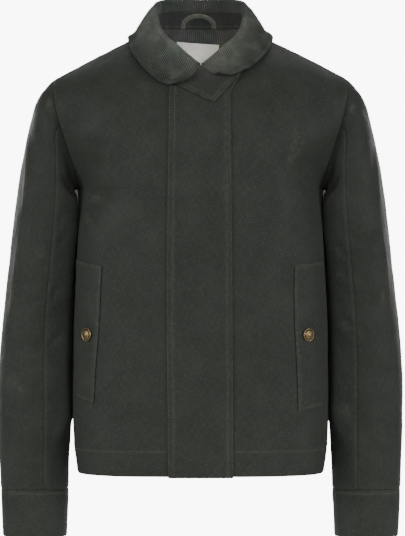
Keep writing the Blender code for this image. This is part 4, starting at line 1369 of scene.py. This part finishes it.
def cotton_thread():
    """Polyester-cotton sewing thread, a little paler than the cloth, with a twist."""
    made, tree, shader = new_finish("sewing thread")
    where = add_node(tree, "TexCoord", out="Object")
    # A twist of 1.4 mm, drawn as mottling
    twist = add_node(tree, "TexNoise", {"Vector": where, "Scale": 700})
    tone = add_node(tree, "Mix", {0: twist, 6: colour(WAXED_MID), 7: colour(THREAD_COLOUR)},
                    out=2, data_type="RGBA")
    plug(tree, shader, {"Base Color": tone, "Roughness": 0.7})
    return made


def woven_label():
    """Damask-woven polyester tape: off-white, fine crosswise ribs, slightly silky."""
    made, tree, shader = new_finish("woven polyester label")
    cloth = add_node(tree, "TexCoord", out="UV")
    # Picks are 0.3 mm apart; they are drawn 0.7 mm wide, as fine as shows
    picks = add_node(tree, "Mapping", {"Vector": cloth, "Scale": (60, 1400, 1)})
    ribs = add_node(tree, "TexNoise", {"Vector": picks, "Scale": 1, "Detail": 2})
    shade = add_node(tree, "MapRange", {"Value": ribs, "From Min": 0.3, "From Max": 0.7})
    tone = add_node(tree, "Mix", {0: shade, 6: colour(LABEL_GREY), 7: colour(LABEL_WHITE)},
                    out=2, data_type="RGBA")
    raised = add_node(tree, "Bump", {"Height": ribs, "Strength": 0.2, "Distance": 0.0003})
    plug(tree, shader, {
        "Base Color": tone, "Roughness": 0.55, "Normal": raised, "Sheen Weight": 0.2,
    })
    return made


def antique_brass():
    """Brass darkened in a bath and rubbed back: brown in the hollows, bright on the dome."""
    made, tree, shader = new_finish("antique brass")
    where = add_node(tree, "TexCoord", out="Object")
    # Spots of patina 1 to 2 mm across
    patina = add_node(tree, "TexNoise", {
        "Vector": where, "Scale": 520, "Detail": 5, "Roughness": 0.7})
    worn = add_node(tree, "Attribute", out="Fac", attribute_name="wear")
    polish = add_node(tree, "MapRange", {
        "Value": patina, "From Min": 0.3, "From Max": 0.62, "To Min": 0.25})
    bright = add_node(tree, "Math", {0: worn, 1: polish}, operation="MULTIPLY")
    tone = add_node(tree, "Mix", {0: bright, 6: colour(BRASS_DARK), 7: colour(BRASS_BRIGHT)},
                    out=2, data_type="RGBA")
    rough = add_node(tree, "MapRange", {
        "Value": patina, "From Min": 0.3, "From Max": 0.7, "To Min": 0.3, "To Max": 0.5})
    plug(tree, shader, {"Base Color": tone, "Roughness": rough, "Metallic": 1.0})
    return made


CANVAS = waxed_cotton()
CORD = corduroy()
THREADS = cotton_thread()
LABEL_TAPE = woven_label()
BRASS = antique_brass()


# The garment


def crease_wear_and_highlight(move):
    """Wax cracks pale along troughs; along the tops of sharp ridges the pale is rubbed wax and a
    painted highlight.
    """
    shades = [ease((height - start) / span) * most
              for height, (start, span, most) in ((-move, TROUGH_WEAR), (move, RIDGE_WEAR_AND_HIGHLIGHT))]
    return np.maximum(*shades)


def rubbed(wear, distance, amount):
    most, width = amount
    return np.maximum(wear, most * bell(distance, width))


def panel(name, grid, form, wall, folded=(), seams=(), sewn=(), turn=1, closed=False):
    """A waxed piece: its form, its edges rolled into seams or folded, and its rows of stitches."""
    field, shared = grid if isinstance(grid, tuple) else (grid, None)
    normals = facing_out(field, turn, closed)
    near = edges_of(field)
    calm = 1.0
    if shared is not None:
        calm = ease(np.minimum.reduce([near[edge] for edge in seams]) / SEAM_CALM)
        normals = unit(lerp(shared, normals, calm[..., None]))
    move = form(field, normals, calm)
    # Pale ridge tops: rubbed wax and a painted highlight
    wear = crease_wear_and_highlight(move)
    for edge in seams:
        move = move + rolled(near[edge], SEAM_ROLL)
        wear = rubbed(wear, near[edge] - SEAM_ROLL[1], SEAM_WEAR)
    for edge in folded:
        move = move + rolled(near[edge], FOLD_ROLL)
        wear = rubbed(wear, near[edge], FOLD_WEAR)
    for edge, distance in sewn:
        off = near[edge] - distance
        line = near[(edge + 2) % 4]
        pucker = np.sin(line / PUCKER_WAVE + PUCKER_DRIFT[0] * np.sin(line / PUCKER_DRIFT[1]))
        move = move + rolled(off, STITCH_ROLL)
        move = move + PUCKER * pucker * bell(np.abs(off) - PUCKER_BAND[0], PUCKER_BAND[1])
        wear = rubbed(wear, off, STITCH_WEAR)
    place = moved(field, normals, move)
    piece = make_cloth(name, place, wall, CANVAS, "waxed_cotton", turn, closed, wear=wear)
    cloth = place, facing_out(place, turn, closed)
    return piece, cloth, [stitch_row(cloth, *row) for row in sewn]


def ribbed_piece(name, field, rib, wall, tone, seams=(), edge_sewn=None):
    """A corduroy piece: raised wales, an uneven nap and, where sewn, a flattened line."""
    near = edges_of(field)
    strength = np.ones(field.shape[:2])
    if edge_sewn:
        off = near[TOP] - edge_sewn
        strength -= WALE_FLATTENED[0] * bell(off, WALE_FLATTENED[1])
    move = rib * WALE_RISE * strength + CORD_UNEVEN * ripples(field, *CORD_RIPPLES)
    if edge_sewn:
        move = move + rolled(off, CORD_STITCH_ROLL) + rolled(near[TOP], CORD_FOLD_ROLL)
    for edge in seams:
        move = move + rolled(near[edge], CORD_SEAM_ROLL)
    place = moved(field, facing_out(field), move)
    if edge_sewn:
        reach = (rib - 0.5) * WALE_TEETH * bell(near[TOP], WALE_TEETH_REACH)
        place = moved(place, unit(np.gradient(field, axis=0)), reach)
    # The rib layer drives the painted shade in the grooves and, through tone, the painted shade
    # inside the neck
    piece = make_cloth(name, place, wall, CORD, "corduroy", rib=rib * strength * tone)
    return piece, (place, facing_out(place))


def snap(side, sheet):
    """A domed cap with a rolled rim, turned about its own axis."""
    x = SNAP_X[side]
    spots = [(abs(p.x - x) + abs(p.z - SNAP_Z), r, c)
             for r, row in enumerate(sheet.points) for c, p in enumerate(row)]
    _, r, c = min(spots)
    out = sheet.normals[r][c]
    place = section_point(SNAP_Z, body_turn_at(x, SNAP_Z), 0, False)
    place = place + out * (LAY_GAP + WELT_WALL + SNAP_LIFT)
    if side == "right":
        place, out = place * FLIP, out * FLIP
    bm = bmesh.new()
    wear = bm.verts.layers.float.new("wear")
    profile = []
    for radius, height, bright in SNAP_TURNING:
        vertex = bm.verts.new((radius, 0, height))
        vertex[wear] = bright
        profile.append(vertex)
    edges = [bm.edges.new(pair) for pair in zip(profile, profile[1:])]
    bmesh.ops.spin(bm, geom=profile + edges, cent=(0, 0, 0), axis=(0, 0, 1),
                   angle=math.tau, steps=SNAP_STEPS, use_merge=True)
    bmesh.ops.remove_doubles(bm, verts=bm.verts, dist=0.001)
    turn = Vector((0, 0, 1)).rotation_difference(out).to_matrix().to_4x4()
    turn.translation = place
    bmesh.ops.transform(bm, matrix=turn, verts=bm.verts)
    bmesh.ops.scale(bm, vec=(MM, MM, MM), verts=bm.verts)
    bmesh.ops.recalc_face_normals(bm, faces=bm.faces)
    piece = add_piece("snap_" + side, bm, BRASS)
    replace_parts(piece, "snap_cap_" + side)


def reversed_rows(grid):
    return [list(reversed(row)) for row in grid]


def fine_sheet(sheet, side, **settings):
    """A sheet's fine field and shared normals; a mirrored one's columns run back."""
    way = list if side == "left" else reversed_rows
    return fine(way(sheet.points), normals=way(sheet.normals), **settings)


front_left, back_half = body_half(is_back=False), body_half(is_back=True)
sleeve = Sheet(sleeve_rings(armhole_loop(front_left, back_half)), wrap=True)
cuff = Sheet([sleeve_ring(row) for row in CUFF], wrap=True)
angles = [180 * k / (2 * NECK_COLS) for k in range(2 * NECK_COLS + 1)]
stand = Sheet(rows_of(both_sides(stand_column, angles)), turn=-1)
lefts = [front_left, back_half, sleeve, cuff]
rights = [sheet.mirrored() for sheet in lefts]
front_right, back_right, sleeve_right, cuff_right = rights
share_normals(lefts + rights + [stand])
back_rows = range(len(back_half.points))
back = back_half.part(back_rows, range(BODY_COLS + 1))
mirror = back_right.part(back_rows, range(BODY_COLS, 0, -1))
back.points = [a + b for a, b in zip(mirror.points, back.points)]
back.normals = [a + b for a, b in zip(mirror.normals, back.normals)]

# Fronts and back
hem = ((BOTTOM, HEM_TURN),)
hem_rows = []
for side, sheet in (("left", front_left), ("right", front_right)):
    field = fine_sheet(sheet, side, row_marks=(HEM_TURN,))
    side_edge, centre_edge = (RIGHT, LEFT) if side == "left" else (LEFT, RIGHT)
    piece, _, rows = panel("front_" + side, field, body_form, SHELL_SHOWN,
                           folded=(BOTTOM, centre_edge), seams=(side_edge, TOP), sewn=hem)
    hem_rows += rows
field = fine_sheet(back, "left", row_marks=(HEM_TURN,))
piece, _, rows = panel("back", field, body_form, SHELL_SHOWN, folded=(BOTTOM,),
                       seams=(LEFT, RIGHT, TOP), sewn=hem, turn=-1)
hem_rows += rows

# Sleeves and cuffs
rings = range(len(SLEEVE))
sleeve_parts = {
    "top": [c % SLEEVE_COLS for c in range(-SLEEVE_SEAM, SLEEVE_SEAM + 1)],
    "under": range(SLEEVE_SEAM, SLEEVE_COLS - SLEEVE_SEAM + 1),
}
for side, whole, band in (("left", sleeve, cuff), ("right", sleeve_right, cuff_right)):
    for part, cols in sleeve_parts.items():
        field = fine_sheet(whole.part(rings, cols), side)
        piece = panel(f"sleeve_{part}_{side}", field, sleeve_form, SHELL_SHOWN,
                      seams=(LEFT, RIGHT, BOTTOM, TOP))[0]
    field = fine_sheet(band, side, closed=True, pitch=PITCH["cuff"], row_marks=(CUFF_STITCH,))
    piece, _, rows = panel("cuff_" + side, field, sleeve_form, CUFF_WALL, closed=True,
                           seams=(BOTTOM,), folded=(TOP,), sewn=((BOTTOM, CUFF_STITCH),))
    hem_rows += rows

# Storm flap and throat tab
fronts = [front_left.points, front_right.points]
flap = lay_on(surface_tree(fronts), flap_places(), LAY_GAP + FLAP_WALL)
field = fine(flap, pitch=PITCH["flap"], col_marks=(FLAP_BAND, -FLAP_STITCH))
piece, cloth, rows = panel("storm_flap", field, body_form, FLAP_WALL,
                           folded=(BOTTOM, LEFT, RIGHT),
                           sewn=((LEFT, FLAP_BAND), (RIGHT, FLAP_STITCH)))
flap_rows = [rows[0], stitch_row(cloth, LEFT, FLAP_EDGE_STITCH), rows[1]]
tab = lay_on(surface_tree(fronts + [stand.points]), tab_places(),
             LAY_GAP + FLAP_WALL + TAB_GAP + TAB_WALL)
tab = relax(tab)
field = fine(tab, pitch=PITCH["tab"], row_marks=(TAB_STITCH,), col_marks=(-TAB_STITCH,))
piece, _, rows = panel("throat_tab", field, body_form, TAB_WALL,
                       folded=(BOTTOM, LEFT, RIGHT, TOP),
                       sewn=((BOTTOM, TAB_STITCH), (RIGHT, TAB_STITCH)))
flap_rows += rows

# Collar
stand_inner = stand.moved_out(-STAND_WALL)
shoulder_tree = surface_tree([
    front_left.points, reversed_rows(front_right.points), reversed_rows(back.points),
    flap, tab, reversed_rows(stand.points),
])
*ribs, tone = WALES["fall"]
field, rib = ribbed(make_fall(stand_inner[-1], shoulder_tree), *ribs,
                    row_marks=(-COLLAR_STITCH,))
# Painted shade: the fall's wales are coloured darker where the cloth turns in toward the neck
from_neck = unit(field * (1, 1, 0) - (0, NECK_CENTRE, 0))
outside = (facing_out(field) * from_neck).sum(axis=-1)
outside = ease((outside + INSIDE_FADE[0]) / INSIDE_FADE[1])
piece, cloth = ribbed_piece("collar_fall", field, rib, FALL_WALL,
                            lerp(INSIDE_SHADE_TONE, tone, outside), edge_sewn=COLLAR_STITCH)
collar_rows = [stitch_row(cloth, TOP, COLLAR_STITCH)]
# The stand's darker wales are painted shade inside the collar
*ribs, tone = WALES["stand"]
piece, cloth = ribbed_piece("collar_stand", *ribbed(stand_inner, *ribs), STAND_WALL, tone,
                            seams=(TOP, BOTTOM))
collar_rows.append(stitch_row(cloth, TOP, STAND_STITCH, end=np.min))

# Back neck facing
facing = facing_points(back)
# The facing's darker wales are painted shade inside the neck
*ribs, tone = WALES["facing"]
piece = ribbed_piece("neck_facing", *ribbed(facing, *ribs), FACING_WALL, tone, seams=(TOP,))[0]

# Pocket welts and their snaps
welt_rows = []
for side in ("left", "right"):
    base = welt_sheet(side)
    if side == "left":
        points, sewn_edge, inset = base.moved_out(LAY_GAP + WELT_WALL), LEFT, WELT_STITCH
    else:
        points = reversed_rows(base.mirrored().moved_out(LAY_GAP + WELT_WALL))
        sewn_edge, inset = RIGHT, -WELT_STITCH
    field = fine(points, pitch=PITCH["welt"], row_marks=(WELT_STITCH, -WELT_STITCH),
                 col_marks=(inset,))
    piece, _, rows = panel("pocket_welt_" + side, field, body_form, WELT_WALL,
                           folded=(LEFT, RIGHT, BOTTOM, TOP),
                           sewn=[(edge, WELT_STITCH) for edge in (sewn_edge, BOTTOM, TOP)])
    welt_rows += rows
    snap(side, base)

sew("hem_and_cuffs", hem_rows)
sew("flap_and_tab", flap_rows)
sew("welts", welt_rows)
sew("collar", collar_rows)

# Label
tree = surface_tree([facing])
tilt = Matrix.Rotation(LABEL_TILT, 2)
rows = []
for r in range(LABEL_ROWS + 1):
    row = []
    for c in range(LABEL_COLS + 1):
        u, v = (c / LABEL_COLS - 0.5) * LABEL_SIZE[0], (r / LABEL_ROWS - 0.5) * LABEL_SIZE[1]
        x, z = Vector(LABEL_MIDDLE) + tilt @ Vector((u, v))
        row.append(tree.ray_cast(Vector((x, NECK_RAY, z)), BACKWARD)[0])
    rows.append(row)
field = fine(Sheet(rows).moved_out(LAY_GAP + LABEL_WALL), pitch=PITCH["label"])
near = edges_of(field)
move = LABEL_WAVE[0] * np.sin(near[LEFT] / LABEL_WAVE[1])
move = move + sum(rolled(edge, LABEL_ROLL) for edge in near)
place = moved(field, facing_out(field), move)
piece = make_cloth("label", place, LABEL_WALL, LABEL_TAPE, "woven_label")

# Hanger loop, which stands before the collar
tree = surface_tree([stand_inner])
highest = stand_inner[-1][len(stand_inner[0]) // 2].z - RAY_MARGIN
rows = []
for k in range(LOOP_STEPS + 1):
    angle = math.pi * k / LOOP_STEPS
    row = []
    for edge in (-LOOP_STRIP / 2, LOOP_STRIP / 2):
        x = LOOP_MIDDLE + (LOOP_HALF + edge) * math.cos(angle)
        z = LOOP_FOOT + (LOOP_RISE + edge) * math.sin(angle) ** LOOP_BEND
        height = max(min(z, highest), LOOP_FOOT)
        spot = tree.ray_cast(Vector((x, NECK_RAY, height)), BACKWARD)[0]
        row.append(Vector((x, spot.y - LAY_GAP - LOOP_WALL, z)))
    rows.append(row)
field = fine(rows, pitch=PITCH["loop"])
near = edges_of(field)
turn = -1 if facing_out(field)[len(field) // 2, 0, 1] > 0 else 1
move = rolled(near[LEFT], LOOP_ROLL) + rolled(near[RIGHT], LOOP_ROLL)
edge_wear = bell(np.minimum(near[LEFT], near[RIGHT]), LOOP_WEAR[1])
piece = make_cloth("hanger_loop", moved(field, facing_out(field, turn), move), LOOP_WALL,
                   CANVAS, "waxed_cotton", turn, wear=LOOP_WEAR_ALL + LOOP_WEAR[0] * edge_wear)


# Floor, light and camera


def add_to_room(name, data):
    thing = bpy.data.objects.new(name, data)
    bpy.context.scene.collection.objects.link(thing)
    return thing


bm = bmesh.new()
bmesh.ops.create_circle(bm, cap_ends=True, radius=FLOOR_RADIUS, segments=FLOOR_SIDES)
bmesh.ops.translate(bm, vec=(0, 0, FLOOR_HEIGHT), verts=bm.verts)
mesh = bpy.data.meshes.new("floor")
bm.to_mesh(mesh)
bm.free()
paint, tree, shader = new_finish("pale studio floor")
plug(tree, shader, {"Base Color": colour(PALE_FLOOR), "Roughness": 0.9})
mesh.materials.append(paint)
add_to_room("floor", mesh)

for name, place, size, power, aimed_at, spread in SOFTBOXES:
    light = bpy.data.lights.new(name, "AREA")
    light.shape = "RECTANGLE"
    light.size, light.size_y = size
    light.energy = power
    light.spread = math.radians(spread)
    lamp = add_to_room(name, light)
    lamp.location = place
    aim = Vector(aimed_at) - Vector(place)
    lamp.rotation_euler = aim.to_track_quat("-Z", "Y").to_euler()

# The room is seen as white, but lights the cloth softly
world = bpy.data.worlds.new("studio")
world.use_nodes = True
tree = world.node_tree
straight_seen = add_node(tree, "LightPath", out="Is Camera Ray")
plug(tree, tree.nodes["Background"], {
    "Color": (1, 1, 1, 1),
    "Strength": add_node(tree, "MapRange", {
        "Value": straight_seen, "To Min": WORLD_STRENGTH, "To Max": WORLD_SEEN}),
})
bpy.context.scene.world = world

camera = bpy.data.cameras.new("camera")
camera.sensor_width = SENSOR
camera.lens = SENSOR * EYE_DISTANCE / FRAME_HEIGHT
camera.shift_x, camera.shift_y = FRAME_SHIFT
eye = add_to_room("camera", camera)
eye.location = (0, -EYE_DISTANCE, EYE_HEIGHT)
eye.rotation_euler = (math.pi / 2, 0, 0)
bpy.context.scene.camera = eye
